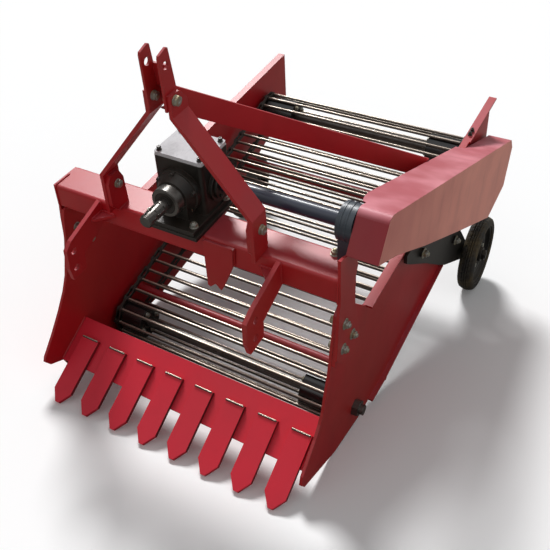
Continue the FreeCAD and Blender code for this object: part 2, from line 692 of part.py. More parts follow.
def make_rear_bearing(side):
    """Flange bearing for the conveyor drive shaft, outside the wall."""
    y, z = REAR_AXLE
    body = rod_x(FLANGE_R, WALL_OUTER_X, WALL_OUTER_X + FLANGE_BEARING_T, y, z)
    body = body.fuse(rod_x(HUSK_R, WALL_OUTER_X, WALL_OUTER_X + HUSK_T, y, z))
    body = body.cut(rod_x(SHAFT_R, 300, 600, y, z))
    return body if side > 0 else mirror_x(body)


def make_rear_sprocket():
    """Large driven chain wheel on the conveyor shaft."""
    y, z = REAR_AXLE
    wheel = rod_x(DRIVE_REAR_R - DRIVE_HALF_H - 0.5, SPROCKET_X0 + 4, SPROCKET_X1 - 4, y, z)
    wheel = wheel.fuse(rod_x(SPROCKET_HUB_R, WALL_OUTER_X + HUSK_T + 1, SPROCKET_X1, y, z))
    return wheel.cut(rod_x(SHAFT_R, 300, 600, y, z))


keep("web_drive_shaft", rod_x(SHAFT_R, -WALL_OUTER_X - 24, SPROCKET_X1 + 4, *REAR_AXLE))
keep("web_idler_axle", make_idler_axle())
keep("rear_bearings", make_rear_bearing(1), make_rear_bearing(-1))
keep("driven_sprocket", make_rear_sprocket())

CARRIER_R = 30.0
CARRIERS = [0.33, 0.67]


def make_carrier(share, side):
    """Small roller under the upper run, on a bolt through the wall."""
    (y0, z0), (y1, z1) = FRONT_AXLE, REAR_AXLE
    head = math.atan2(z1 - z0, y1 - y0)
    drop = WEB_R - CHAIN_HALF_H - CARRIER_R - 0.4
    y = y0 + (y1 - y0) * share - math.sin(head) * drop
    z = z0 + (z1 - z0) * share + math.cos(head) * drop
    roller = rod_x(CARRIER_R, CHAIN_X0 - 12, CHAIN_X1 + 2, y, z)
    roller = roller.fuse(rod_x(10, CHAIN_X0 - 20, WALL_INNER_X, y, z))
    return roller if side > 0 else mirror_x(roller)


keep("carrier_rollers", *[make_carrier(s, side) for s in CARRIERS for side in (1, -1)])
CROSS_BARS = [(462.0, 122.0, 14.0), (1150.0, 322.0, 20.0)]
keep("cross_bars", *[rod_x(r, -WALL_INNER_X, WALL_INNER_X, y, z) for y, z, r in CROSS_BARS])

# ---------------------------------------------------------------- rear wheels
ARM_T = 10.0
ARM_BOLT_R = 14.0
ARM_BOLTS = [(725, 410), (1100, 275)]
COLLAR_R = 20.0
AXLE_NUT_ACROSS = 36.0
ARM_PROFILE = [(592, 462), (598, 434), (635, 414), (800, 334), (948, 252), (1040, 205), (1275, 112),
               (1315, 112), (1328, 150), (1300, 172), (1130, 318), (1080, 338), (860, 398), (646, 478)]


def make_arm(side):
    """Bolted arm that carries the wheel axle behind and below the wall."""
    y, z = WHEEL_AXLE
    arm = slab(ARM_PROFILE, WALL_OUTER_X + LOW_FLANGE_W, WALL_OUTER_X + LOW_FLANGE_W + ARM_T)
    for ty, tz in ARM_BOLTS:
        arm = arm.fuse(rod_x(ARM_BOLT_R, WALL_OUTER_X, WALL_OUTER_X + LOW_FLANGE_W + ARM_T + 8, ty, tz))
    arm = arm.cut(rod_x(AXLE_R, 0, 600, y, z))
    return arm if side > 0 else mirror_x(arm)


def make_axle(side):
    """Stub axle of a rear wheel with collar and end nut."""
    y, z = WHEEL_AXLE
    x0 = WALL_OUTER_X + LOW_FLANGE_W
    axle = rod_x(AXLE_R, x0 - 10, WHEEL_X1 + 8, y, z)
    axle = axle.fuse(rod_x(COLLAR_R, x0 + ARM_T, WHEEL_X0 - 6, y, z))
    for start, end in ((x0 - 12, x0), (WHEEL_X1 - 4, WHEEL_X1 + 5)):
        axle = axle.fuse(hex_x(AXLE_NUT_ACROSS, start, end, y, z))
    return axle if side > 0 else mirror_x(axle)


RIM_R = 106.0
HUB_R = 27.0
TYRE_SHOULDER_R = 20.0


def make_rim(side):
    """Pressed disc wheel with hub and rim."""
    y, z = WHEEL_AXLE
    x0, x1 = WHEEL_X0, WHEEL_X1
    mid = (x0 + x1) / 2
    rim = rod_x(RIM_R, x0 + 8, x1 - 8, y, z).cut(rod_x(RIM_R - 5, x0 - 5, x1 + 5, y, z))
    rim = rim.fuse(rod_x(RIM_R - 2, mid - 3, mid + 3, y, z))
    rim = rim.fuse(rod_x(HUB_R, x0 - 2, x1 - 6, y, z))
    rim = rim.cut(rod_x(AXLE_R + RUNNING_FIT, x0 - 9, x1 + 9, y, z)).removeSplitter()
    return rim if side > 0 else mirror_x(rim)


def make_tyre(side):
    """Solid rubber tyre with rounded shoulders."""
    y, z = WHEEL_AXLE
    tyre = rod_x(WHEEL_R, WHEEL_X0, WHEEL_X1, y, z)
    edges = [e for e in tyre.Edges if e.Length > 2 * math.pi * WHEEL_R - 5]
    tyre = tyre.makeFillet(TYRE_SHOULDER_R, edges).cut(rod_x(RIM_R, 0, 900, y, z))
    return tyre if side > 0 else mirror_x(tyre)


for name, side in (("left", -1), ("right", 1)):
    keep("wheel_arm_" + name, make_arm(side))
    keep("wheel_rim_" + name, make_rim(side))
    keep("wheel_tyre_" + name, make_tyre(side))
keep("wheel_axles", make_axle(-1), make_axle(1))

os.makedirs("parts", exist_ok=True)
for name, shape in PARTS.items():
    shape.translate(V(0, -FOOTPRINT_MID_Y, 0))
    shape.exportStep("parts/" + name + ".step")
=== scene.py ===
"""Finishes and fittings of a tractor-mounted potato harvester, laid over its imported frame."""
import json
import logging
import math
from collections.abc import Sequence
from dataclasses import dataclass
from enum import Enum

import bpy
import numpy as np
from mathutils import Matrix

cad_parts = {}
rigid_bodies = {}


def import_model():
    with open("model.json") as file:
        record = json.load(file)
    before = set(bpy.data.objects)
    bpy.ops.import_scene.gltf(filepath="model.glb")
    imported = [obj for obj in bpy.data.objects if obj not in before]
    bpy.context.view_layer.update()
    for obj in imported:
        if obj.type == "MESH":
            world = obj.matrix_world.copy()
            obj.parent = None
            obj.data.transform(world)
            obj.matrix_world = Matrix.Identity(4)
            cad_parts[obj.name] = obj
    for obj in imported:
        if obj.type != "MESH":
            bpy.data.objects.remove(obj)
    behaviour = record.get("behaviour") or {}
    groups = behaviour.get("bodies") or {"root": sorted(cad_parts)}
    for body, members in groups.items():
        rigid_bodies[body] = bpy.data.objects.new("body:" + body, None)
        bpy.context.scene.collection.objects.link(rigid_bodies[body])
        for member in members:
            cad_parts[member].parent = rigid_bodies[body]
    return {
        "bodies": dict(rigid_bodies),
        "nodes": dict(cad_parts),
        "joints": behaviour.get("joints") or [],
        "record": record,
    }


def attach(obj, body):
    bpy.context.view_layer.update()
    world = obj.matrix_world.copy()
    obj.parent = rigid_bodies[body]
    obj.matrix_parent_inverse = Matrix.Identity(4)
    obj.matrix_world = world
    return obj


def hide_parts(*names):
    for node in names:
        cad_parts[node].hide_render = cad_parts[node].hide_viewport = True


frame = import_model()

LOG = logging.getLogger("potato_harvester")
Colour = tuple[float, float, float]
Pair = tuple[float, float]
Triple = tuple[float, float, float]
Profile = tuple[Pair, ...]
MM = 0.001
EVEN = (1.0, 1.0, 1.0)
WHITE = (1.0, 1.0, 1.0)
X_AXIS = (1.0, 0.0, 0.0)


class Slot(Enum):
    """Finish slots of the machine, by their names in the record."""

    RED = "red_paint"
    GUARD = "guard_paint"
    BLADE = "blade_steel"
    BLACK = "black_paint"
    CAST = "cast_iron"
    LID = "cover_metal"
    STEEL = "bright_steel"
    ROD = "rod_steel"
    SHAFT = "shaft_black"
    BEARING = "bearing_grey"
    ZINC = "zinc"
    CHAIN = "chain_black"
    DRUM = "drum_black"
    TYRE = "tyre"


class Side(Enum):
    """Left and right of the machine; the right side carries the chain guard."""

    LEFT = -1
    RIGHT = 1


# ------------------------------------------------------------------ shader sheets
class Value:
    """A number in a node tree that takes part in ordinary sums, one Math node a sum."""

    def __init__(self, sheet: "Sheet", socket: bpy.types.NodeSocket) -> None:
        """Wrap a socket of a sheet."""
        self.sheet = sheet
        self.socket = socket

    def _sum(self, operation: str, first: "Value | float", second: "Value | float") -> "Value":
        """Add one Math node, "ADD", "SUBTRACT" or "MULTIPLY", with a left and a right term."""
        settings = {"operation": operation}
        return Value(self.sheet, self.sheet.node("ShaderNodeMath", settings, {0: first, 1: second}))

    def __add__(self, other: "Value | float") -> "Value":
        """Sum with the value on the left."""
        return self._sum("ADD", self, other)

    def __radd__(self, other: "Value | float") -> "Value":
        """Sum with the value on the right."""
        return self._sum("ADD", other, self)

    def __sub__(self, other: "Value | float") -> "Value":
        """Difference with the value on the left."""
        return self._sum("SUBTRACT", self, other)

    def __rsub__(self, other: "Value | float") -> "Value":
        """Difference with the value on the right."""
        return self._sum("SUBTRACT", other, self)

    def __mul__(self, other: "Value | float") -> "Value":
        """Product with the value on the left."""
        return self._sum("MULTIPLY", self, other)

    def __rmul__(self, other: "Value | float") -> "Value":
        """Product with the value on the right."""
        return self._sum("MULTIPLY", other, self)

    def step(self, low: float, high: float) -> "Value":
        """Smooth rise from 0 at low to 1 at high.

        Args:
            low: Value at which the rise starts.
            high: Value at which it ends.

        Returns:
            The result as a new value.
        """
        settings = {"interpolation_type": "SMOOTHSTEP"}
        sockets = {"Value": self, "From Min": low, "From Max": high}
        return Value(self.sheet, self.sheet.node("ShaderNodeMapRange", settings, sockets))


@dataclass(frozen=True)
class Pattern:
    """A cloudy pattern: lumps per metre, octaves and the weight of the finer ones.

    The stretch is the scale of each axis, and draws the lumps out into streaks where it is small.
    """

    scale: float
    detail: float = 2.0
    rough: float = 0.5
    stretch: Colour = EVEN


class Sheet:
    """The node tree of one material or of the sky."""

    def __init__(self, name: str, owner: bpy.types.World | None = None) -> None:
        """Start an empty tree.

        Args:
            name: Name of the new material.
            owner: A world to write the tree in, instead of a new material.
        """
        self.material = owner or bpy.data.materials.new(name)
        self.material.use_nodes = True
        self.tree = self.material.node_tree
        self.tree.nodes.clear()

    @staticmethod
    def _find(sockets: bpy.types.bpy_prop_collection, key: str | int) -> bpy.types.NodeSocket:
        """A socket by identifier, name or index."""
        named = [s for s in sockets if s.identifier == key]
        return named[0] if named else sockets[key]

    def node(self, kind: str, settings: dict | None = None, sockets: dict | None = None,
             out: str | int = 0) -> bpy.types.NodeSocket | None:
        """Add one node.

        Args:
            kind: Blender's type of the node.
            settings: Properties, which are set before any socket.
            sockets: Input name, identifier or index, to a number, colour, vector, socket or value.
            out: Which output to hand back.

        Returns:
            The chosen output socket, or None for a node without outputs.
        """
        made = self.tree.nodes.new(kind)
        for key, value in (settings or {}).items():
            setattr(made, key, value)
        for key, value in (sockets or {}).items():
            target = self._find(made.inputs, key)
            value = value.socket if isinstance(value, Value) else value
            if isinstance(value, bpy.types.NodeSocket):
                self.tree.links.new(value, target)
            elif isinstance(value, tuple) and len(target.default_value) == 4:
                target.default_value = (*value, 1.0)
            else:
                target.default_value = value
        return self._find(made.outputs, out) if made.outputs else None

    def place(self, stretch: Colour = EVEN) -> bpy.types.NodeSocket:
        """Object coordinates, each axis times its stretch."""
        spot = self.node("ShaderNodeTexCoord", out="Object")
        return self.node("ShaderNodeVectorMath", {"operation": "MULTIPLY"}, {0: spot, 1: stretch})

    def noise(self, pattern: Pattern) -> Value:
        """Value of a pattern, from 0 to 1."""
        sockets = {"Vector": self.place(pattern.stretch), "Scale": pattern.scale,
                   "Detail": pattern.detail, "Roughness": pattern.rough}
        return Value(self, self.node("ShaderNodeTexNoise", None, sockets, "Fac"))

    def axis(self, vector: bpy.types.NodeSocket, name: str) -> Value:
        """The "X", "Y" or "Z" of a vector."""
        return Value(self, self.node("ShaderNodeSeparateXYZ", None, {0: vector}, name))

    def normal(self) -> bpy.types.NodeSocket:
        """The surface's own normal."""
        return self.node("ShaderNodeNewGeometry", out="Normal")

    def facing(self, axis: str) -> Value:
        """How far the surface faces along an axis, from -1 to 1."""
        return self.axis(self.normal(), axis)

    def at(self, axis: str) -> Value:
        """The surface's place along an axis, in metres."""
        return self.axis(self.place(), axis)

    def rounded(self, radius: float) -> bpy.types.NodeSocket:
        """Normal that runs smoothly over edges, as a pressed or painted edge does."""
        return self.node("ShaderNodeBevel", {"samples": 4}, {"Radius": radius}, "Normal")

    def edges(self, radius: float) -> Value:
        """Mask of edges: one less the dot product of the rounded and the true normal.

        Args:
            radius: How far the mask reaches from an edge, in metres.

        Returns:
            A value of 1 on edges and 0 on flats.
        """
        sockets = {0: self.rounded(radius), 1: self.normal()}
        dot = self.node("ShaderNodeVectorMath", {"operation": "DOT_PRODUCT"}, sockets, "Value")
        return (1.0 - Value(self, dot)).step(0.02, 0.2)

    def blend(self, amount: Value | float, first: object, second: object) -> bpy.types.NodeSocket:
        """Colour between two colours."""
        sockets = {"Factor_Float": amount, "A_Color": first, "B_Color": second}
        return self.node("ShaderNodeMix", {"data_type": "RGBA"}, sockets, "Result_Color")

    def relief(self, height: Value, depth: float, strength: float,
               normal: bpy.types.NodeSocket) -> bpy.types.NodeSocket:
        """Normal bent by a height pattern.

        Args:
            height: Pattern from 0 to 1.
            depth: Height of the pattern in metres.
            strength: Share of the effect.
            normal: Normal underneath.

        Returns:
            The bent normal.
        """
        sockets = {"Height": height, "Distance": depth, "Strength": strength, "Normal": normal}
        return self.node("ShaderNodeBump", None, sockets, "Normal")

    def close(self, **sockets: object) -> bpy.types.Material:
        """Add the surface shader and the output.

        Args:
            sockets: Inputs of the surface shader, with an underscore for each blank.

        Returns:
            The finished material.
        """
        named = {key.replace("_", " "): value for key, value in sockets.items()}
        shader = self.node("ShaderNodeBsdfPrincipled", None, named, "BSDF")
        self.node("ShaderNodeOutputMaterial", None, {"Surface": shader})
        return self.material


# ------------------------------------------------------------------ finishes
@dataclass(frozen=True)
class Enamel:
    """Sprayed enamel on plate: cloudy colour, dust on top faces, chipped edges, orange peel.

    Painted side shading, where there is one, lies on faces towards +X and fades towards the front:
    a painted reflection when its colour is pale, painted shade when it is dark. Dust, wear, side
    shading, its fade and browning are shares from 0 to 1.
    """

    name: str
    colour: Colour
    deep: Colour
    dusty: Colour
    dust: float = 0.25
    wear: float = 0.5
    roughness: float = 0.34
    coat: float = 0.15
    bare: Colour = (0.30, 0.27, 0.25)
    side_shading: Colour = (0.62, 0.30, 0.20)
    side_shading_share: float = 0.0
    side_shading_fade: float = 0.0
    gloss: float = 0.3
    glaze: float = 0.33
    brown: Colour = (0.34, 0.060, 0.040)
    browned: float = 0.35
    cloud: Pattern = Pattern(5.0, 3.0, 0.55)
    fleck: Pattern = Pattern(140.0, 3.0, 0.6)
    streak: Pattern = Pattern(22.0, stretch=(1.0, 1.0, 0.22))
    patch: Pattern = Pattern(1.7, 3.0, 0.6)
    peel: Pattern = Pattern(900.0, 1.0)
    edge_r: float = 0.0016
    round_r: float = 0.0018
    buckle_depth: float = 0.0012
    peel_depth: float = 0.00006

    def material(self) -> bpy.types.Material:
        """Build the enamel.

        Returns:
            The finished material.
        """
        s = Sheet(self.name)
        cloud, fleck, streak = s.noise(self.cloud), s.noise(self.fleck), s.noise(self.streak)
        dust = s.facing("Z").step(0.3, 1.0) * (0.35 + 0.65 * cloud.step(0.35, 0.7)) * self.dust
        worn = s.edges(self.edge_r) * fleck.step(0.50, 0.64) * self.wear
        deepened = cloud.step(0.30, 0.72) * 0.55 + streak.step(0.5, 0.8) * 0.25
        colour = s.blend(deepened, self.colour, self.deep)
        browned = s.noise(self.patch).step(0.42, 0.70) * self.browned
        colour = s.blend(browned, colour, self.brown)
        colour = s.blend(dust + fleck.step(0.66, 0.80) * 0.05, colour, self.dusty)
        # Painted light on faces towards +X: a pale colour paints a reflection, a dark one paints
        # shade.
        if self.side_shading_share:
            mottle = 0.86 + 0.3 * cloud.step(0.3, 0.7) - 0.12 * streak.step(0.5, 0.8)
            side_fade = s.at("Y").step(-0.55, 0.5) * self.side_shading_fade + (1.0 - self.side_shading_fade)
            side_shading = s.facing("X").step(0.75, 0.95) * mottle * self.side_shading_share * side_fade
            colour = s.blend(side_shading, colour, self.side_shading)
            dust = dust + side_shading * 0.5
        colour = s.blend(worn, colour, self.bare)
        rough = self.roughness + 0.14 * cloud + 0.35 * dust + 0.06 * fleck
        buckle = s.relief(cloud, self.buckle_depth, 0.5, s.rounded(self.round_r))
        peel = s.relief(s.noise(self.peel), self.peel_depth, 0.5, buckle)
        return s.close(Base_Color=colour, Roughness=rough, Metallic=worn * 0.6, Normal=peel,
                       Coat_Weight=self.coat, Coat_Roughness=self.glaze,
                       Specular_IOR_Level=self.gloss)


@dataclass(frozen=True)
class Casting:
    """Sand-cast iron: grainy skin, oily patches and dust, rubbed lighter on its edges."""

    name: str
    colour: Colour
    oily: Colour
    paler_tone: Colour
    roughness: float = 0.5
    grain: float = 0.0005
    patch: Pattern = Pattern(14.0, 4.0, 0.6)
    sand: Pattern = Pattern(420.0, 3.0, 0.6)
    edge_r: float = 0.003

    def material(self) -> bpy.types.Material:
        """Build the casting.

        Returns:
            The finished material.
        """
        s = Sheet(self.name)
        patch, sand = s.noise(self.patch), s.noise(self.sand)
        oil = patch.step(0.42, 0.62)
        dust = s.facing("Z").step(0.3, 1.0) * patch.step(0.4, 0.65) * 0.35
        light = dust + s.edges(self.edge_r) * 0.4 + sand.step(0.6, 0.8) * 0.15
        colour = s.blend(light, s.blend(oil, self.colour, self.oily), self.paler_tone)
        rough = self.roughness + 0.2 * sand - 0.22 * oil
        skin = s.relief(sand, self.grain, 0.55, s.rounded(self.edge_r))
        return s.close(Base_Color=colour, Roughness=rough, Metallic=0.25, Normal=skin,
                       Coat_Weight=0.15, Coat_Roughness=0.3)


@dataclass(frozen=True)
class Drawn:
    """Bright steel with drawing or turning marks along one axis, tarnished in patches.

    The line's stretch draws the marks out along the axis where it is least. A painted highlight,
    where there is one, lies on top faces.
    """

    name: str
    colour: Colour
    tarnish: Colour
    line: Pattern
    roughness: float = 0.28
    metallic: float = 0.9
    stain: float = 0.5
    spotted: float = 0.4
    scored: float = 0.00008
    top_highlight: float = 0.0
    top_highlight_colour: Colour = (0.85, 0.71, 0.58)
    patch: Pattern = Pattern(9.0, 4.0, 0.65)
    spot: Pattern = Pattern(120.0)
    round_r: float = 0.0008

    def material(self) -> bpy.types.Material:
        """Build the steel.

        Returns:
            The finished material.
        """
        s = Sheet(self.name)
        line, patch, spot = s.noise(self.line), s.noise(self.patch), s.noise(self.spot)
        spots = spot.step(0.68, 0.78) * self.spotted * self.stain
        stain = patch.step(0.48, 0.70) * self.stain + spots
        colour = s.blend(stain, self.colour, self.tarnish)
        colour = s.blend(line.step(0.45, 0.75) * 0.25, colour, self.tarnish)
        # Painted highlight: top faces are blended towards a pale colour, as if lit from above.
        if self.top_highlight:
            paler_tone = s.facing("Z").step(0.62, 0.97) * (1.0 - 0.5 * stain) * self.top_highlight
            colour = s.blend(paler_tone, colour, self.top_highlight_colour)
        rough = self.roughness + 0.18 * line + 0.25 * stain
        marks = s.relief(line, self.scored, 0.5, s.rounded(self.round_r))
        return s.close(Base_Color=colour, Roughness=rough, Metallic=self.metallic, Normal=marks)


@dataclass(frozen=True)
class Plated:
    """Zinc plate with yellowish bloom, dulled at random and bright on its edges."""

    name: str
    colour: Colour
    bloom: Colour
    dull: Colour
    bright: Colour = (0.78, 0.77, 0.73)
    patch: Pattern = Pattern(60.0, 3.0, 0.6)
    grain: Pattern = Pattern(500.0)
    edge_r: float = 0.0012
    round_r: float = 0.0010
    depth: float = 0.0001

    def material(self) -> bpy.types.Material:
        """Build the plating.

        Returns:
            The finished material.
        """
        s = Sheet(self.name)
        patch, grain = s.noise(self.patch), s.noise(self.grain)
        colour = s.blend(patch.step(0.42, 0.66), self.colour, self.bloom)
        colour = s.blend(grain.step(0.55, 0.75) * 0.5, colour, self.dull)
        colour = s.blend(s.edges(self.edge_r) * 0.45, colour, self.bright)
        rough = 0.30 + 0.2 * grain + 0.12 * patch
        skin = s.relief(grain, self.depth, 0.4, s.rounded(self.round_r))
        return s.close(Base_Color=colour, Roughness=rough, Metallic=0.8, Normal=skin)


@dataclass(frozen=True)
class Rubber:
    """Moulded rubber, browned with dry soil in patches and streaks, rubbed paler on its edges."""

    name: str
    colour: Colour
    soil: Colour
    soiled: float
    paler_tone: Colour = (0.11, 0.10, 0.09)
    cloud: Pattern = Pattern(16.0, 4.0, 0.6)
    streak: Pattern = Pattern(70.0, 3.0, 0.6, (1.0, 1.0, 0.12))
    pore: Pattern = Pattern(800.0)
    edge_r: float = 0.002
    round_r: float = 0.0016
    depth: float = 0.0002

    def material(self) -> bpy.types.Material:
        """Build the rubber.

        Returns:
            The finished material.
        """
        s = Sheet(self.name)
        cloud, streak, pore = s.noise(self.cloud), s.noise(self.streak), s.noise(self.pore)
        soil = (cloud.step(0.38, 0.7) * 0.5 + streak.step(0.42, 0.72) * 0.5) * self.soiled
        colour = s.blend(soil, self.colour, self.soil)
        colour = s.blend(s.edges(self.edge_r) * 0.3, colour, self.paler_tone)
        rough = 0.58 + 0.25 * soil + 0.1 * pore
        skin = s.relief(0.6 * pore + 0.4 * streak, self.depth, 0.5, s.rounded(self.round_r))
        return s.close(Base_Color=colour, Roughness=rough, Normal=skin)


@dataclass(frozen=True)
class Gloss:
    """Thick gloss enamel on round parts, with fine scuffs drawn out along the machine's width."""

    name: str
    colour: Colour
    scuffed: Colour
    roughness: float = 0.2
    coat: float = 0.8
    scuff: float = 0.4
    glaze: float = 0.28
    cloud: Pattern = Pattern(18.0, 3.0, 0.6)
    scratch: Pattern = Pattern(140.0, stretch=(0.06, 1.0, 1.0))
    edge_r: float = 0.0014
    round_r: float = 0.0016
    depth: float = 0.00001

    def material(self) -> bpy.types.Material:
        """Build the gloss.

        Returns:
            The finished material.
        """
        s = Sheet(self.name)
        cloud, scratch = s.noise(self.cloud), s.noise(self.scratch)
        rub = scratch.step(0.56, 0.72) * cloud.step(0.35, 0.65) * self.scuff
        mark = rub + s.edges(self.edge_r) * 0.35
        colour = s.blend(mark, self.colour, self.scuffed)
        rough = self.roughness + 0.3 * mark + 0.1 * cloud
        skin = s.relief(scratch, self.depth, 0.2, s.rounded(self.round_r))
        return s.close(Base_Color=colour, Roughness=rough, Coat_Weight=self.coat,
                       Coat_Roughness=self.glaze, Normal=skin)


Finish = Enamel | Casting | Drawn | Plated | Rubber | Gloss
FINISHES: dict[Slot, Finish] = {
    Slot.RED: Enamel(
        "crimson_enamel", (0.50, 0.010, 0.016), (0.37, 0.007, 0.011), (0.66, 0.24, 0.29),
        coat=0.5, roughness=0.40, gloss=0.12),
    Slot.GUARD: Enamel(
        # The guard's side shading is a painted reflection on its +X faces, paler towards the rear.
        "guard_enamel", (0.36, 0.010, 0.020), (0.28, 0.007, 0.014), (0.84, 0.33, 0.38),
        dust=0.9, wear=0.3, roughness=0.38, coat=0.4, gloss=0.2,
        side_shading=(1.0, 0.385, 0.30), side_shading_share=1.0, side_shading_fade=0.4),
    # The blades' side shading is painted shade on their faces towards +X.
    Slot.BLADE: Enamel(
        "blade_enamel", (0.72, 0.016, 0.040), (0.60, 0.012, 0.032), (0.74, 0.12, 0.15),
        dust=0.12, wear=0.3, roughness=0.42, coat=0.1, browned=0.1,
        side_shading=(0.05, 0.012, 0.012), side_shading_share=0.8),
    Slot.BLACK: Enamel(
        "black_enamel", (0.016, 0.014, 0.012), (0.008, 0.007, 0.007), (0.10, 0.075, 0.05),
        dust=0.6, wear=0.4, roughness=0.4, brown=(0.035, 0.026, 0.018)),
    Slot.CAST: Casting(
        "gearbox_iron", (0.024, 0.018, 0.013), (0.010, 0.008, 0.006), (0.085, 0.064, 0.046)),
    Slot.LID: Drawn(
        "lid_silver", (0.66, 0.66, 0.68), (0.36, 0.36, 0.37),
        line=Pattern(260.0, 2.0, 0.6, (1.0, 0.3, 1.0)),
        roughness=0.6, metallic=0.0, stain=0.45),
    Slot.STEEL: Drawn(
        "oiled_steel", (0.13, 0.12, 0.11), (0.030, 0.025, 0.020),
        line=Pattern(260.0, 2.0, 0.6, (0.08, 1.0, 1.0)),
        roughness=0.2, metallic=0.7),
    # Rods: dark base with a painted highlight on their top faces.
    Slot.ROD: Drawn(
        "drawn_rod", (0.10, 0.085, 0.070), (0.030, 0.020, 0.015),
        line=Pattern(260.0, 2.0, 0.6, (0.04, 1.0, 1.0)),
        roughness=0.16, metallic=0.35, spotted=0.2, scored=0.00003, top_highlight=0.65),
    Slot.SHAFT: Gloss(
        "shaft_gloss", (0.010, 0.016, 0.040), (0.035, 0.040, 0.060),
        roughness=0.42, coat=0.55, scuff=0.2, glaze=0.15),
    Slot.BEARING: Gloss(
        "bearing_enamel", (0.028, 0.040, 0.055), (0.14, 0.15, 0.17),
        roughness=0.34, coat=0.3, scuff=0.25),
    Slot.ZINC: Plated("zinc_plate", (0.36, 0.36, 0.32), (0.36, 0.31, 0.19), (0.15, 0.145, 0.125)),
    Slot.CHAIN: Casting(
        "oiled_chain_steel", (0.026, 0.020, 0.016), (0.010, 0.008, 0.007), (0.11, 0.09, 0.07),
        roughness=0.42, grain=0.0002),
    Slot.DRUM: Gloss(
        "roller_gloss", (0.008, 0.007, 0.007), (0.07, 0.06, 0.05), scuff=0.35, coat=0.35),
    Slot.TYRE: Rubber(
        "tyre_rubber", (0.012, 0.011, 0.010), (0.13, 0.090, 0.036), soiled=0.8),
}


class PaintShop:
    """Hands out the material of each slot's finish."""

    def __init__(self) -> None:
        """Start with no material mixed."""
        self.made: dict[Slot, bpy.types.Material] = {}

    def material(self, slot: Slot) -> bpy.types.Material:
        """Mix a slot's finish on first use.

        Args:
            slot: The slot.

        Returns:
            Its material, the same one each time.
        """
        if slot not in self.made:
            self.made[slot] = FINISHES[slot].material()
        return self.made[slot]

    def dress_frame(self, packed: dict) -> None:
        """Give every CAD node the material of its slot.
        """
        for row in packed["record"]["subparts"]:
            node = packed["nodes"][row["node"]]
            node.data.materials.clear()
            node.data.materials.append(self.material(Slot(row["material_slot"])))
            LOG.info("finish %s on %s", row["material_slot"], row["node"])


# ------------------------------------------------------------------ surfaces
@dataclass
class Skin:
    """A closed surface in millimetres: points (n, 3) and groups of faces with equal corners."""

    points: np.ndarray
    faces: list[np.ndarray]

    @staticmethod
    def joined(skins: Sequence["Skin"]) -> "Skin":
        """One skin from several.

        Args:
            skins: The skins, each with its own points.

        Returns:
            The joined skin.
        """
        starts = np.cumsum([0] + [len(s.points) for s in skins[:-1]])
        faces = [f + start for s, start in zip(skins, starts) for f in s.faces]
        return Skin(np.concatenate([s.points for s in skins]), faces)

    def placed(self, frames: np.ndarray, spots: np.ndarray) -> "Skin":
        """Copies of the skin: each point p of copy k is spot k plus frame k times p.

        Args:
            frames: (k, 3, 3) matrices whose columns are the copy's local axes.
            spots: (k, 3) places in millimetres.

        Returns:
            All the copies in one skin.
        """
        points = np.einsum("kij,nj->kni", frames, self.points) + spots[:, None, :]
        shift = np.arange(len(spots))[:, None, None] * len(self.points)
        faces = [(f[None] + shift).reshape(-1, f.shape[1]) for f in self.faces]
        return Skin(points.reshape(-1, 3), faces)

    def about(self, spot: Sequence[float], axis: Sequence[float]) -> "Skin":
        """The skin standing at a spot along an axis."""
        return self.placed(frames_along(np.array([axis], float)), np.array([spot], float))

    def outward(self) -> "Skin":
        """Turn the skin over if its signed volume, summed over fans of triangles, is negative.

        Returns:
            The same closed skin with faces that point out.
        """
        volume = 0.0
        for f in self.faces:
            a = self.points[f[:, 0]]
            for k in range(1, f.shape[1] - 1):
                b, c = self.points[f[:, k]], self.points[f[:, k + 1]]
                volume += float(np.einsum("ij,ij->", a, np.cross(b, c)))
        return self if volume > 0 else Skin(self.points, [f[:, ::-1] for f in self.faces])

    def mirrored(self) -> "Skin":
        """The same piece on the other side of the machine."""
        return Skin(self.points * np.array([-1.0, 1.0, 1.0]), [f[:, ::-1] for f in self.faces])


def woven(grid: np.ndarray, wrap_rows: bool, capped: bool) -> Skin:
    """Quads over a grid of points whose columns close on themselves.

    Args:
        grid: (rows, columns, 3) points.
        wrap_rows: Whether the last row joins the first, as round a ring.
        capped: Whether the first and last rows are closed with flat faces.

    Returns:
        The closed skin, pointing outwards.
    """
    rows, cols = grid.shape[:2]
    i = np.arange(rows if wrap_rows else rows - 1)[:, None]
    j = np.arange(cols)[None, :]
    k, m = (i + 1) % rows, (j + 1) % cols
    corners = [i * cols + j, i * cols + m, k * cols + m, k * cols + j]
    faces = [np.stack(corners, -1).reshape(-1, 4)]
    if capped:
        ring = np.arange(cols)
        faces += [ring[None, ::-1], (rows - 1) * cols + ring[None, :]]
    return Skin(grid.reshape(-1, 3), faces).outward()


def round_angles(sides: int) -> np.ndarray:
    """Evenly spaced angles round a full turn."""
    return np.arange(sides) * 2 * math.pi / sides


def circle(radius: float, degrees: Sequence[float]) -> list[Pair]:
    """Places on a circle about 0: the radius times the cosine and the sine of each angle."""
    return [(radius * math.cos(t), radius * math.sin(t)) for t in np.radians(degrees)]


def turned(profile: Sequence[Pair], sides: int = 24, ring: bool = False) -> Skin:
    """Surface of revolution about local Z.

    Point (i, j) is at height z_i, radius r_i and angle 2 pi j / sides.

    Args:
        profile: (height, radius) pairs.
        sides: Points round the axis.
        ring: Whether the profile closes on itself and leaves a bore.

    Returns:
        The skin.
    """
    z, r = np.array(profile, float).T
    t = round_angles(sides)
    heights = np.repeat(z[:, None], sides, 1)
    grid = np.stack([r[:, None] * np.cos(t), r[:, None] * np.sin(t), heights], -1)
    return woven(grid, ring, not ring)


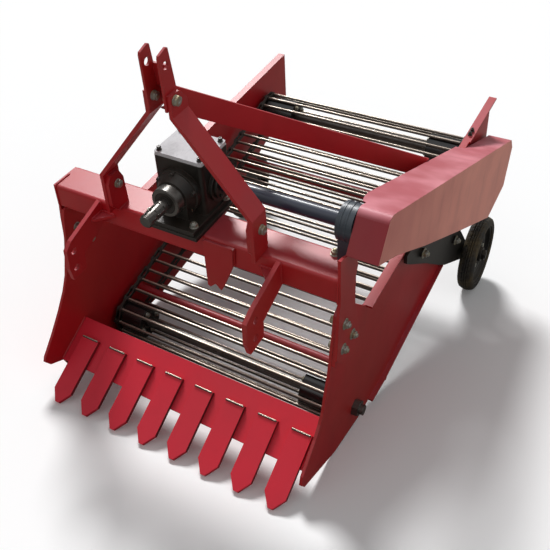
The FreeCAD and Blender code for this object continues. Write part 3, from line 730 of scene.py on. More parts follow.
def hexagon(across: float, height: float, bored: float = 0.0) -> Skin:
    """Hexagon head or nut with a turned chamfer.

    Its radius at angle t is the lesser of the hexagon's, half across / cos(t mod 60 deg - 30 deg),
    and a turned one, which is a tenth under the corners at the seat, 8 to 14 percent under them at
    the top, and over them between.

    Args:
        across: Width across flats.
        height: Height along local Z.
        bored: Radius of a shallow dish in the top, or 0 for a flat top.

    Returns:
        The skin.
    """
    t = round_angles(36)
    flat = across / 2 / np.cos(np.mod(t, math.pi / 3) - math.pi / 6)
    corner = across / math.sqrt(3)
    rows = [(0.0, 0.90 * corner), (0.09 * height, 2 * corner), (0.84 * height, 2 * corner),
            (0.96 * height, 0.92 * corner), (height, 0.86 * corner)]
    if bored:
        rows += [(height, bored), (height - 0.12 * height, bored * 0.9)]
    z = np.array([row[0] for row in rows])[:, None]
    r = np.minimum(flat[None, :], np.array([row[1] for row in rows])[:, None])
    return woven(np.stack([r * np.cos(t), r * np.sin(t), z + 0 * r], -1), False, True)


def plate(outline: np.ndarray, x0: float, x1: float, ease: float) -> Skin:
    """Flat plate across X from a (Y, Z) outline with eased edges.

    The outline is carried along X through four rows, and the end rows are drawn in by the ease
    towards the middle.

    Args:
        outline: (n, 2) corners, in order.
        x0: Lower X.
        x1: Upper X.
        ease: Width of the eased edge.

    Returns:
        The skin.
    """
    middle = outline.mean(0)
    reach = np.linalg.norm(outline - middle, axis=1, keepdims=True)
    drawn = outline - (outline - middle) / reach * ease
    rows = [(x0, drawn), (x0 + ease, outline), (x1 - ease, outline), (x1, drawn)]
    grid = np.stack([np.column_stack([np.full(len(o), x), o]) for x, o in rows])
    return woven(grid, False, True)


def bead(path: Sequence[Sequence[float]], radius: float, pitch: float = 5.0) -> Skin:
    """Weld bead along a path.

    A tube of seven sides, whose radius swells as 0.82 + 0.18 |sin(pi s / pitch)| with run s and
    falls to a third over the last 2 mm of each end.

    Args:
        path: Corners in millimetres.
        radius: Radius at the top of a ripple.
        pitch: Distance between ripples.

    Returns:
        The skin.
    """
    corners = np.array(path, float)
    steps = np.linalg.norm(np.diff(corners, axis=0), axis=1)
    runs = np.concatenate([[0.0], np.cumsum(steps)])
    s = np.linspace(0.0, runs[-1], max(6, int(runs[-1] / 1.7)))
    line = np.stack([np.interp(s, runs, corners[:, k]) for k in range(3)], -1)
    ahead = np.gradient(line, axis=0)
    ahead /= np.linalg.norm(ahead, axis=1, keepdims=True)
    lean = np.where(np.abs(ahead[:, :1]) < 0.8, np.array([X_AXIS]), np.array([[0.0, 0.31, 0.95]]))
    side = np.cross(ahead, lean)
    side /= np.linalg.norm(side, axis=1, keepdims=True)
    over = np.cross(ahead, side)
    t = round_angles(7)
    swell = radius * (0.82 + 0.18 * np.abs(np.sin(math.pi * s / pitch)))
    swell *= np.minimum(1.0, np.minimum(s + 1.0, runs[-1] - s + 1.0) / 3.0)
    rim = (np.cos(t)[None, :, None] * side[:, None, :]
           + np.sin(t)[None, :, None] * over[:, None, :])
    return woven(line[:, None, :] + swell[:, None, None] * rim, False, True)


def frames_along(axes: np.ndarray) -> np.ndarray:
    """Matrices whose third column is each unit axis.

    Args:
        axes: (k, 3) directions.

    Returns:
        (k, 3, 3) matrices with columns x, y and z.
    """
    z = axes / np.linalg.norm(axes, axis=1, keepdims=True)
    lean = np.where(np.abs(z[:, :1]) < 0.9, np.array([X_AXIS]), np.array([[0.0, 1.0, 0.0]]))
    x = np.cross(lean, z)
    x /= np.linalg.norm(x, axis=1, keepdims=True)
    return np.stack([x, np.cross(z, x), z], -1)


@dataclass(frozen=True)
class Stance:
    """How the leaning upper frame stands on the floor, in millimetres and degrees."""

    pitch: float = 12.0
    beam_y: float = 127.0
    beam_z: float = 624.0
    footprint_mid: float = 716.12

    def turn(self) -> np.ndarray:
        """Rotation from the level beam frame to the leaning machine."""
        c, s = math.cos(math.radians(self.pitch)), math.sin(math.radians(self.pitch))
        return np.array([[1.0, 0.0, 0.0], [0.0, c, -s], [0.0, s, c]])

    def up(self) -> np.ndarray:
        """Square off the beam's top face."""
        return self.turn() @ np.array([0.0, 0.0, 1.0])

    def ahead(self) -> np.ndarray:
        """Square off the beam's front face."""
        return self.turn() @ np.array([0.0, -1.0, 0.0])

    def tip(self, points: Sequence) -> np.ndarray:
        """Carry (x, a, b) points of the beam frame to the floor frame."""
        return np.array(points, float) @ self.turn().T + np.array([0.0, self.beam_y, self.beam_z])

    def metres(self, points: np.ndarray) -> np.ndarray:
        """Drawing millimetres to metres about the middle of the footprint."""
        return (points - np.array([0.0, self.footprint_mid, 0.0])) * MM


STANCE = Stance()


class Workbench:
    """Makes skins into pieces that ride on the machine."""

    def __init__(self, shop: PaintShop) -> None:
        """Keep the paint shop at hand."""
        self.shop = shop

    def fit(self, name: str, skins: Sequence[Skin], slot: Slot, body: str = "frame",
            stands_for: Sequence[str] = (), crease: float = 35.0) -> None:
        """Join skins into one piece and fit it to the machine.

        Args:
            name: Name of the piece.
            skins: Its surfaces in drawing millimetres.
            slot: Its finish.
            body: CAD body it moves with.
            stands_for: CAD nodes it replaces.
            crease: Angle in degrees above which an edge stays sharp.
        """
        skin = Skin.joined(skins)
        mesh = bpy.data.meshes.new(name)
        faces = [row for group in skin.faces for row in group.tolist()]
        mesh.from_pydata(STANCE.metres(skin.points).tolist(), [], faces)
        mesh.polygons.foreach_set("use_smooth", np.ones(len(mesh.polygons), bool))
        mesh.set_sharp_from_angle(angle=math.radians(crease))
        mesh.update()
        mesh.materials.append(self.shop.material(slot))
        piece = bpy.data.objects.new(name, mesh)
        bpy.context.scene.collection.objects.link(piece)
        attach(piece, body)
        if stands_for:
            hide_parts(*stands_for)
        LOG.info("piece %s: %d faces on %s", name, len(faces), body)


# ------------------------------------------------------------------ fasteners and chains
@dataclass(frozen=True)
class Fastener:
    """A bolt head or nut on a washer, along local Z from the seat.

    The washer is given by its radius, and the stub is the thread's end over a nut.
    """

    across: float
    head: float
    washer: float = 0.0
    stub: float = 0.0
    stub_r: float = 0.0
    washer_t: float = 2.2
    groove_pitch: float = 1.6

    def skin(self) -> Skin:
        """Washer, chamfered hexagon and, for a nut, the thread's end with turned grooves.

        Returns:
            The fastener on a seat at the origin.
        """
        rise = self.washer_t if self.washer else 0.0
        parts = []
        if self.washer:
            edge = self.washer
            parts.append(turned([(-0.3, edge - 0.4), (0.2, edge), (rise - 0.5, edge),
                                 (rise, edge - 0.6)], 28))
        head = hexagon(self.across, self.head, 0.0 if self.stub else self.across * 0.22)
        parts.append(Skin(head.points + np.array([0.0, 0.0, rise]), head.faces))
        if self.stub:
            base = rise + self.head
            turns = max(2, int(self.stub / self.groove_pitch))
            rows = [(base - 1.0, self.stub_r)]
            for k in range(turns):
                rows += [(base + (k + 0.1) * self.stub / turns, self.stub_r),
                         (base + (k + 0.6) * self.stub / turns, self.stub_r * 0.88)]
            parts.append(turned(rows + [(base + self.stub, self.stub_r * 0.7)], 18))
        return Skin.joined(parts)

    def set_out(self, spots: Sequence, axis: Sequence) -> Skin:
        """One fastener at each spot.

        Args:
            spots: (k, 3) places in millimetres.
            axis: The direction that all stand along, or (k, 3) directions.

        Returns:
            All of them in one skin.
        """
        places = np.array(spots, float)
        axes = np.broadcast_to(np.array(axis, float), places.shape)
        return self.skin().placed(frames_along(axes), places)


@dataclass(frozen=True)
class Loop:
    """A chain's path round a front and a rear wheel, in (Y, Z) millimetres."""

    front: Pair
    front_r: float
    rear: Pair
    rear_r: float

    def shape(self) -> Triple:
        """Work out the wheels' common tangents.

        Returns:
            Heading of the centre line, lean of the tangent points and length of a straight run.
        """
        dy, dz = self.rear[0] - self.front[0], self.rear[1] - self.front[1]
        span = math.hypot(dy, dz)
        lean = math.acos((self.front_r - self.rear_r) / span)
        return math.atan2(dz, dy), lean, span * math.sin(lean)

    def length(self) -> float:
        """Length of the closed path."""
        _, lean, run = self.shape()
        return 2 * run + 2 * lean * self.rear_r + 2 * (math.pi - lean) * self.front_r

    def at(self, s: np.ndarray) -> np.ndarray:
        """Points at run s: top run, arc round the rear wheel, lower run, arc round the front wheel.

        Args:
            s: Runs along the path from the front top tangent point.

        Returns:
            (n, 2) points.
        """
        head, lean, run = self.shape()
        s = np.mod(s, self.length())
        arc = 2 * lean * self.rear_r

        def rim(centre: Pair, r: float, t: np.ndarray) -> np.ndarray:
            """Points on a wheel's rim at angles t."""
            return np.stack([centre[0] + r * np.cos(t), centre[1] + r * np.sin(t)], -1)

        def heading(t: float) -> np.ndarray:
            """Unit direction at angle t."""
            return np.array([math.cos(t), math.sin(t)])

        one = np.ones_like(s)
        top = rim(self.front, self.front_r, (head + lean) * one)
        top = top + s[:, None] * heading(head + lean - math.pi / 2)
        rear = rim(self.rear, self.rear_r, head + lean - (s - run) / self.rear_r)
        base = rim(self.rear, self.rear_r, (head - lean) * one)
        base = base - (s - run - arc)[:, None] * heading(head - lean + math.pi / 2)
        nose = rim(self.front, self.front_r, head - lean - (s - 2 * run - arc) / self.front_r)
        out = np.where((s < run)[:, None], top, rear)
        out = np.where((s >= run + arc)[:, None], base, out)
        return np.where((s >= 2 * run + arc)[:, None], nose, out)


@dataclass(frozen=True)
class LinkChain:
    """Plate-link chain: pairs of waisted plates joined by pins, inner and outer by turns."""

    path: Loop
    pitch: float
    end_r: float
    waist: float
    plate_t: float
    inner: float
    outer: float
    pin: Profile
    centre_x: float
    phase: float = 0.0
    ease: float = 0.4

    def outline(self, step: float) -> np.ndarray:
        """Waisted oval: half-circles about each pin, drawn in to the waist between them.

        Args:
            step: Distance between the two pins.

        Returns:
            (n, 2) corners, in order.
        """
        t = np.linspace(-math.pi / 2, math.pi / 2, 7)
        right = np.stack([step / 2 + self.end_r * np.cos(t), self.end_r * np.sin(t)], -1)
        neck = np.array([[0.0, self.waist]])
        return np.concatenate([right, neck, -right, -neck])

    def joints(self) -> np.ndarray:
        """(Y, Z) of every joint, an even count of them, evenly spaced from the phase on."""
        count = 2 * round(self.path.length() / self.pitch / 2)
        return self.path.at((np.arange(count) + self.phase) * self.path.length() / count)

    def skins(self) -> list[Skin]:
        """Lay two plates on every link and a pin at every joint.

        Returns:
            The outer plates, the inner plates and the pins.
        """
        joints = self.joints()
        count = len(joints)
        ahead = np.roll(joints, -1, 0) - joints
        step = float(np.linalg.norm(ahead, axis=1).max())
        along = ahead / np.linalg.norm(ahead, axis=1, keepdims=True)
        zero = np.zeros(count)
        frames = np.stack([np.column_stack([zero + 1, zero, zero]),
                           np.column_stack([zero, along]),
                           np.column_stack([zero, -along[:, 1], along[:, 0]])], -1)
        spots = np.column_stack([zero + self.centre_x, joints + ahead / 2])
        skins = []
        for first, reach in ((0, self.outer), (1, self.inner)):
            for side in (-1, 1):
                x0 = side * reach - self.plate_t / 2
                link = plate(self.outline(step), x0, x0 + self.plate_t, self.ease)
                skins.append(link.placed(frames[first::2], spots[first::2]))
        across = frames_along(np.tile([X_AXIS], (count, 1)))
        pins = turned(self.pin, 10).placed(across, np.column_stack([spots[:, 0], joints]))
        return skins + [pins]


@dataclass(frozen=True)
class ChainWheel:
    """Toothed wheel of a plate-link chain, with a hub on its far side."""

    centre: Pair
    pitch_r: float
    teeth: int
    x0: float
    x1: float
    hub_r: float
    hub_x: float
    bore: float
    lip: float
    ease: float = 1.8

    def skin(self, joints: np.ndarray) -> Skin:
        """Ring whose rim radius at angle t is the pitch radius plus lip times (1.15 u - 0.75).

        u is (0.5 - 0.5 cos(teeth (t - t0))) to the power 0.8, where t0 is the angle of a chain
        joint on the wheel, so the joints lie in the gaps. Both edges of the rim are drawn in.

        Args:
            joints: (n, 2) places of the chain's joints.

        Returns:
            The wheel.
        """
        away = joints - np.array(self.centre)
        on_wheel = away[np.abs(np.linalg.norm(away, axis=1) - self.pitch_r) < 0.5]
        seat = on_wheel[len(on_wheel) // 2]
        t0 = math.atan2(seat[1], seat[0])
        t = round_angles(self.teeth * 10)
        u = (0.5 - 0.5 * np.cos(self.teeth * (t - t0))) ** 0.8
        crest = self.pitch_r + self.lip * (1.15 * u - 0.75)
        root = self.pitch_r - 1.6 * self.lip
        rows = [(self.x0, self.bore), (self.x0, root), (self.x0, crest - self.ease / 2),
                (self.x0 + self.ease, crest), (self.x1 - self.ease, crest),
                (self.x1, crest - self.ease / 2), (self.x1, root), (self.x1, self.hub_r),
                (self.hub_x - 1, self.hub_r), (self.hub_x, self.hub_r - 1),
                (self.hub_x, self.bore)]
        grid = np.stack([np.stack([x + 0 * t, self.centre[0] + r * np.cos(t),
                                   self.centre[1] + r * np.sin(t)], -1) for x, r in rows])
        return woven(grid, True, False)


# ------------------------------------------------------------------ sub-assemblies
@dataclass(frozen=True)
class Assembly:
    """A sub-assembly, which fits its own pieces to the machine. Its sizes are in millimetres."""

    bench: Workbench

    def build(self) -> None:
        """Fit every piece; each sub-assembly says how."""
        raise NotImplementedError

    def bolt(self, name: str, kind: Fastener, spots: Sequence, axis: Sequence,
             slot: Slot = Slot.ZINC) -> None:
        """Fit one piece made of equal fasteners."""
        self.bench.fit(name, [kind.set_out(spots, axis)], slot)


@dataclass(frozen=True)
class GearboxTrim(Assembly):
    """Screws, nose sleeve, seal, plug and foot bolts of the bevel gearbox, in the beam frame."""

    centre_x: float = -26.0
    shaft_b: float = 86.0
    lid_x: float = 59.0
    lid_a: Pair = (58.0, 152.0)
    lid_b: float = 178.0
    lid_screw: Fastener = Fastener(10.0, 8.0, 7.0)
    nose_a: float = -20.0
    sleeve: Profile = ((-24, 38.0), (-24, 39.6), (-1, 39.6), (1.2, 37.6), (1.2, 30), (-2, 28),
                       (-24, 28))
    seal: Profile = ((-4, 18.2), (-4, 30), (-0.5, 30), (0.5, 28), (0.5, 22), (-1, 19.6),
                     (-1, 18.2))
    ring_a: float = 30.0
    ring_r: float = 54.0
    plug_angle: float = -52.0
    screw_angles: tuple[float, ...] = (15.0, 94.0, 150.0, 210.0)
    screw: Fastener = Fastener(11.0, 7.0, 7.5)
    plug: Fastener = Fastener(13.0, 8.0, 9.0)
    feet: Profile = ((65.0, -3.0), (75.0, 128.0))
    foot_b: float = 24.0
    foot_bolt: Fastener = Fastener(17.0, 8.0, 11.5, 4.0, 5.0)
    cap_x: float = 64.0
    cap_a: float = 108.0
    cap_r: float = 29.0
    cap_angles: tuple[float, ...] = (45.0, 135.0, 225.0, 315.0)
    cap_screw: Fastener = Fastener(9.0, 5.0)

    def on_nose(self, degrees: Sequence[float]) -> np.ndarray:
        """Places on the nose flange's bolt circle."""
        return STANCE.tip([(self.centre_x + x, self.ring_a, self.shaft_b + b)
                           for x, b in circle(self.ring_r, degrees)])

    def build(self) -> None:
        """Fit the gearbox's small pieces."""
        up, ahead = STANCE.up(), STANCE.ahead()
        lid = [(self.centre_x + side * self.lid_x, a, self.lid_b)
               for side in (-1, 1) for a in self.lid_a]
        self.bolt("gearbox_lid_screws", self.lid_screw, STANCE.tip(lid), up, Slot.CHAIN)
        nose = STANCE.tip([(self.centre_x, self.nose_a, self.shaft_b)])[0]
        for name, profile, sides, slot in (("gearbox_nose_sleeve", self.sleeve, 72, Slot.STEEL),
                                           ("gearbox_shaft_seal", self.seal, 48, Slot.CAST)):
            self.bench.fit(name, [turned(profile, sides, True).about(nose, ahead)], slot)
        self.bolt("gearbox_nose_screws", self.screw, self.on_nose(self.screw_angles), ahead,
                  Slot.CHAIN)
        self.bolt("gearbox_level_plug", self.plug, self.on_nose([self.plug_angle]), ahead)
        feet = [(self.centre_x + side * x, a, self.foot_b)
                for side in (-1, 1) for x, a in self.feet]
        self.bolt("gearbox_foot_bolts", self.foot_bolt, STANCE.tip(feet), up)
        cap = [(self.cap_x, self.cap_a + a, self.shaft_b + b)
               for a, b in circle(self.cap_r, self.cap_angles)]
        self.bolt("gearbox_cap_screws", self.cap_screw, STANCE.tip(cap), X_AXIS, Slot.CHAIN)


@dataclass(frozen=True)
class MastBolts(Assembly):
    """The bolts of the mast, with heads, washers, shanks and nuts, in the beam frame.

    Each row of the bolts is (inner x, outer x, a, b), with x from the mast's middle.
    """

    centre_x: float = 6.0
    head: tuple[float, float, float, float] = (21.0, 37.0, -14.0, 386.0)
    foot: tuple[float, float, float, float] = (199.0, 220.0, 4.0, 78.0)
    hexed: Fastener = Fastener(22.0, 8.5, 13.0)
    nut: Fastener = Fastener(20.0, 8.0, 12.0, 3.0, 7.0)
    dome: Profile = ((-0.5, 13.0), (0.8, 14.0), (2.4, 12.6), (3.6, 9.4), (4.2, 5.0), (4.4, 1.5))
    shank_r: float = 7.6

    def build(self) -> None:
        """Fit the bolts in place of their plain solids; the mast head's left is a coach bolt."""
        skins = []
        for row in (self.head, self.foot):
            x0, x1, a, b = row
            for way in (1, -1):
                inner, outer = STANCE.tip([(self.centre_x + way * x, a, b) for x in (x0, x1)])
                out, back = (way, 0, 0), (-way, 0, 0)
                domed = row is self.head and way < 0
                skins.append(turned(self.dome, 28).about(outer, out) if domed
                             else self.hexed.set_out([outer], out))
                skins.append(self.nut.set_out([inner], back))
                shank = turned([(-1, self.shank_r), (x1 - x0 + 0.5, self.shank_r)], 20)
                skins.append(shank.about(inner, out))
        self.bench.fit("mast_through_bolts", skins, Slot.ZINC, stands_for=["mast_bolts"])


@dataclass(frozen=True)
class FrameBolts(Assembly):
    """Bolts of the beam's end plates, in the beam frame, and of the stay's foot."""

    plate_x: Pair = (403.0, 429.0)
    plate_spots: Profile = ((24, -153), (66, -227), (14, -229))
    plate_head: Fastener = Fastener(19.0, 8.0, 13.0)
    plate_nut: Fastener = Fastener(19.0, 8.0, 15.0, 5.0, 6.0)
    foot_x: Pair = (395.0, 411.0)
    foot_y: Pair = (769.0, 801.0)
    foot_z: Pair = (480.0, 540.0)
    foot_head: Fastener = Fastener(16.0, 7.0, 11.0)
    foot_nut: Fastener = Fastener(16.0, 8.0, 11.0, 4.0, 5.0)

    def build(self) -> None:
        """Fit the bolts side by side."""
        for side in Side:
            sign = side.value
            inner, outer = (STANCE.tip([(sign * x, a, b) for a, b in self.plate_spots])
                            for x in self.plate_x)
            skins = [self.plate_nut.set_out(outer, (sign, 0, 0)),
                     self.plate_head.set_out(inner, (-sign, 0, 0))]
            self.bench.fit(f"end_plate_bolts_{side.name.lower()}", skins, Slot.ZINC)
        inner, outer = ([(x, y, z) for y in self.foot_y for z in self.foot_z] for x in self.foot_x)
        skins = [self.foot_head.set_out(inner, (-1, 0, 0)), self.foot_nut.set_out(outer, X_AXIS)]
        self.bench.fit("stay_foot_bolts", skins, Slot.ZINC)


@dataclass(frozen=True)
class BearingTrim(Assembly):
    """Ridges, lip, inner rings and foot bolt of the shaft bearing, in the beam frame.

    A profile's heights run along X from its own place. The ridge's radii are over the housing's.
    """

    a: float = 108.0
    b: float = 86.0
    radius: float = 48.0
    ridge: Profile = ((-3.0, -2), (-3.0, 0.6), (-2.0, 1.6), (2.0, 1.6), (3.0, 0.6), (3.0, -2))
    ridge_x: Pair = (393.0, 407.0)
    lip: Profile = ((0.0, 20.0), (0.0, 40.0), (-2.5, 42.5), (-4.5, 42.5), (-4.5, 20.0))
    lip_x: float = 386.0
    inner: Profile = ((0.0, 19.2), (0.0, 27.0), (4.5, 27.0), (5.5, 26.0), (5.5, 19.2))
    shield: Profile = ((0.0, 28.5), (0.0, 33.0), (2.0, 34.0), (2.0, 28.0))
    inner_x: float = 416.0
    foot: Triple = (376.0, 82.0, 0.0)
    foot_bolt: Fastener = Fastener(17.0, 9.0, 12.0, 5.0, 5.5)

    def turned_at(self, profile: Sequence[Pair], sides: int, x: float) -> Skin:
        """A ring about the shaft's axis."""
        return turned(profile, sides, True).about(STANCE.tip([(x, self.a, self.b)])[0], X_AXIS)

    def build(self) -> None:
        """Fit the bearing's details."""
        ridge = [(x, self.radius + r) for x, r in self.ridge]
        skins = [self.turned_at(ridge, 56, x) for x in self.ridge_x]
        skins.append(self.turned_at(self.lip, 48, self.lip_x))
        self.bench.fit("bearing_ridges", skins, Slot.BEARING)
        skins = [self.turned_at(profile, 36, self.inner_x) for profile in (self.inner, self.shield)]
        self.bench.fit("bearing_inner_ring", skins, Slot.STEEL)
        self.bolt("bearing_foot_bolt", self.foot_bolt, STANCE.tip([self.foot]), STANCE.up())


@dataclass(frozen=True)
class WeldSet(Assembly):
    """Weld beads of the frame, painted over."""

    radius: float = 3.2
    crease: float = 60.0
    mast_mid: float = 6.0
    leg_x: Pair = (199.0, 210.0)
    hitch_x: float = 270.0
    hitch_half: float = 6.0
    hitch_b: Pair = (-3.0, -69.0)
    gusset_b: float = -31.0
    gusset_run: float = 44.0
    leg_a: Pair = (-8.0, 33.0)
    beam_x: float = 421.0
    beam_rim: Profile = ((60, 1), (8, 1), (1, -2), (-1, -9), (-1, -64), (1, -71), (8, -73),
                         (70, -73))
    single: tuple[tuple[Triple, Triple], ...] = (
        ((67, -9, -5), (148, -9, -5)), ((64, -3, -8), (64, -3, -72)),
        ((150, -3, -8), (147, -3, -58)), ((-108, -1, -1), (58, -1, -1)))
    wall_x: float = 402.4
    share_slope: float = 39.0
    share_ends: Pair = (116.0, 253.0)
    bars: tuple[Triple, ...] = ((462.0, 122.0, 14.0), (1150.0, 322.0, 20.0))
    wall_front: tuple[Triple, Triple] = ((411.5, 174.5, 357.0), (411.5, 174.5, 550.0))
    stay_x: float = 401.5
    stay_y: Pair = (754.0, 816.0)
    stay_z: Pair = (457.0, 650.0)

    def beam_paths(self) -> list[list[Triple]]:
        """Bead paths on the beam and what stands on it.

        Returns:
            Paths of (x, a, b) corners in the beam frame.
        """
        paths = []
        for side in (-1, 1):
            for edge in (-1, 1):
                x = side * self.hitch_x + edge * self.hitch_half
                paths.append([(x, -1, b) for b in self.hitch_b])
            x, b, run = side * (self.hitch_x - self.hitch_half), self.gusset_b, self.gusset_run
            paths.append([(x, -1, b), (x - side * run, -1, b)])
            paths.append([(x, -2, b), (x, -run, b)])
            paths.append([(side * self.beam_x, a, b) for a, b in self.beam_rim])
            for reach in self.leg_x:
                paths.append([(self.mast_mid + side * reach, a, 1) for a in self.leg_a])
        return paths + [list(path) for path in self.single]

    def floor_paths(self) -> list[list[Triple]]:
        """Bead paths on the walls, share, bars and stay foot.

        Returns:
            Paths of (x, y, z) corners in the floor frame.
        """
        c, s = math.cos(math.radians(self.share_slope)), math.sin(math.radians(self.share_slope))
        paths = []
        for side in (-1, 1):
            x = side * self.wall_x
            paths.append([(x, r * c - 1.0, r * s + 1.0) for r in self.share_ends])
            for y, z, r in self.bars:
                rim = circle(r + 1, np.linspace(0.0, 360.0, 25))
                paths.append([(x, y + dy, z + dz) for dy, dz in rim])
            paths.append([(side * x, y, z) for x, y, z in self.wall_front])
        return paths + [[(self.stay_x, y, z) for z in self.stay_z] for y in self.stay_y]

    def build(self) -> None:
        """Lay every bead."""
        beam = [STANCE.tip(path) for path in self.beam_paths()]
        for name, paths in (("beam_weld_beads", beam), ("wall_weld_beads", self.floor_paths())):
            skins = [bead(path, self.radius) for path in paths]
            self.bench.fit(name, skins, Slot.RED, crease=self.crease)


@dataclass(frozen=True)
class BladeRow(Assembly):
    """Raised rear lips of the digging blades, on the slope of the share."""

    count: int = 8
    pitch: float = 100.0
    shift: float = 8.0
    half: float = 28.5
    run: float = 198.5
    rise: float = 12.4
    slope: float = 39.0
    lip_r: float = 3.3
    ripple: float = 7.0
    crease: float = 60.0

    def lay(self, points: Sequence[Triple]) -> np.ndarray:
        """Carry (x, along, above) points from the flat to the slope of the share."""
        c, s = math.cos(math.radians(self.slope)), math.sin(math.radians(self.slope))
        return np.array(points, float) @ np.array([[1, 0, 0], [0, c, s], [0, -s, c]], float)

    def build(self) -> None:
        """Lay a lip along the rear edge of every blade."""
        skins = []
        for i in range(self.count):
            x = (i - (self.count - 1) / 2) * self.pitch + self.shift
            ends = self.lay([(x + end * self.half, self.run, self.rise) for end in (-1, 1)])
            skins.append(bead(ends, self.lip_r, self.ripple))
        # The rod finish paints a highlight on the lips' top faces.
        self.bench.fit("blade_rear_lips", skins, Slot.ROD, crease=self.crease)


@dataclass(frozen=True)
class ChainDrive(Assembly):
    """Roller chain and its two toothed wheels under the guard."""

    front: Pair = (214.75, 730.58)
    rear: Pair = (1262.0, 512.0)
    front_r: float = 26.0
    rear_r: float = 50.0
    centre_x: float = 450.0
    pitch: float = 15.875
    pin: Profile = ((-7.6, 1.7), (-7.0, 2.3), (-3.7, 2.3), (-3.7, 4.2), (3.7, 4.2), (3.7, 2.3),
                    (7.0, 2.3), (7.6, 1.7))

    def build(self) -> None:
        """Fit chain and wheels in place of their plain solids."""
        chain = LinkChain(Loop(self.front, self.front_r, self.rear, self.rear_r), self.pitch,
                          end_r=5.8, waist=4.4, plate_t=1.5, inner=4.6, outer=6.3, pin=self.pin,
                          centre_x=self.centre_x)
        small = ChainWheel(self.front, self.front_r, teeth=10, x0=446.8, x1=453.2, hub_r=18.5,
                           hub_x=458.0, bore=14.05, lip=3.6)
        large = ChainWheel(self.rear, self.rear_r, teeth=20, x0=453.2, x1=446.8, hub_r=30.0,
                           hub_x=430.5, bore=17.5, lip=3.8)
        joints = chain.joints()
        rows = (("drive_roller_chain", chain.skins(), "drive_chain"),
                ("drive_pinion", [small.skin(joints)], "drive_sprocket"),
                ("conveyor_chain_wheel", [large.skin(joints)], "driven_sprocket"))
        for name, skins, node in rows:
            self.bench.fit(name, skins, Slot.CHAIN, stands_for=[node])


@dataclass(frozen=True)
class RodWeb(Assembly):
    """Link chains along both edges of the rod conveyor, and the bolts of its drums."""

    front: Pair = (374.0, 78.0)
    rear: Pair = (1262.0, 512.0)
    radius: float = 58.0
    rods: int = 58
    chain_x: float = 380.0
    pin: Profile = ((-9.0, 4.0), (-8.0, 5.0), (8.0, 5.0), (9.0, 4.0))
    drum_x: float = 262.0
    left_front_drum_x: float = 296.0
    bolt_r: float = 36.0
    bolt_angles: tuple[float, ...] = (20.0, 110.0, 200.0, 290.0)
    drum_bolt: Fastener = Fastener(13.0, 6.0, 9.0)

    def build(self) -> None:
        """Fit the side chains in place of their plain bands, and the drums' end bolts."""
        path = Loop(self.front, self.radius, self.rear, self.radius)
        pitch = path.length() / self.rods
        skins, spots, axes = [], [], []
        for side in Side:
            chain = LinkChain(path, pitch, end_r=8.6, waist=5.2, plate_t=3.4, inner=2.4, outer=6.4,
                              pin=self.pin, centre_x=side.value * self.chain_x, phase=0.5)
            skins += chain.skins()
            for y, z in (self.front, self.rear):
                short = side is Side.LEFT and y == self.front[0]
                x = side.value * (self.left_front_drum_x if short else self.drum_x)
                spots += [(x, y + dy, z + dz) for dy, dz in circle(self.bolt_r, self.bolt_angles)]
                axes += [(-side.value, 0, 0)] * len(self.bolt_angles)
        self.bench.fit("web_side_links", skins, Slot.CHAIN, stands_for=["web_chains"])
        self.bolt("drum_end_bolts", self.drum_bolt, spots, axes)


@dataclass(frozen=True)
class RearBearingTrim(Assembly):
    """Flange bolts and grease nipples of the conveyor shaft's bearings."""

    y: float = 1262.0
    z: float = 512.0
    face_x: float = 419.0
    bolt_r: float = 36.0
    bolt_angles: tuple[float, ...] = (35.0, 145.0, 215.0, 325.0)
    flange_bolt: Fastener = Fastener(12.0, 6.0, 7.6)
    nipple_x: float = 424.0
    nipple_z: float = 539.5
    nipple: Profile = ((-1, 3), (0, 4.5), (4, 4.5), (5, 3), (8, 3), (9, 3.8), (11, 3.4), (12, 1.8))

    def build(self) -> None:
        """Fit bolts and nipples on both walls."""
        ring = circle(self.bolt_r, self.bolt_angles)
        spots = [(side * self.face_x, self.y + y, self.z + z) for side in (-1, 1) for y, z in ring]
        axes = [(side, 0, 0) for side in (-1, 1) for _ in ring]
        nipples = [turned(self.nipple, 12).about((side * self.nipple_x, self.y, self.nipple_z),
                                                 (0, 0, 1)) for side in (-1, 1)]
        bolts = self.flange_bolt.set_out(spots, axes)
        self.bench.fit("rear_bearing_bolts", [bolts] + nipples, Slot.ZINC)


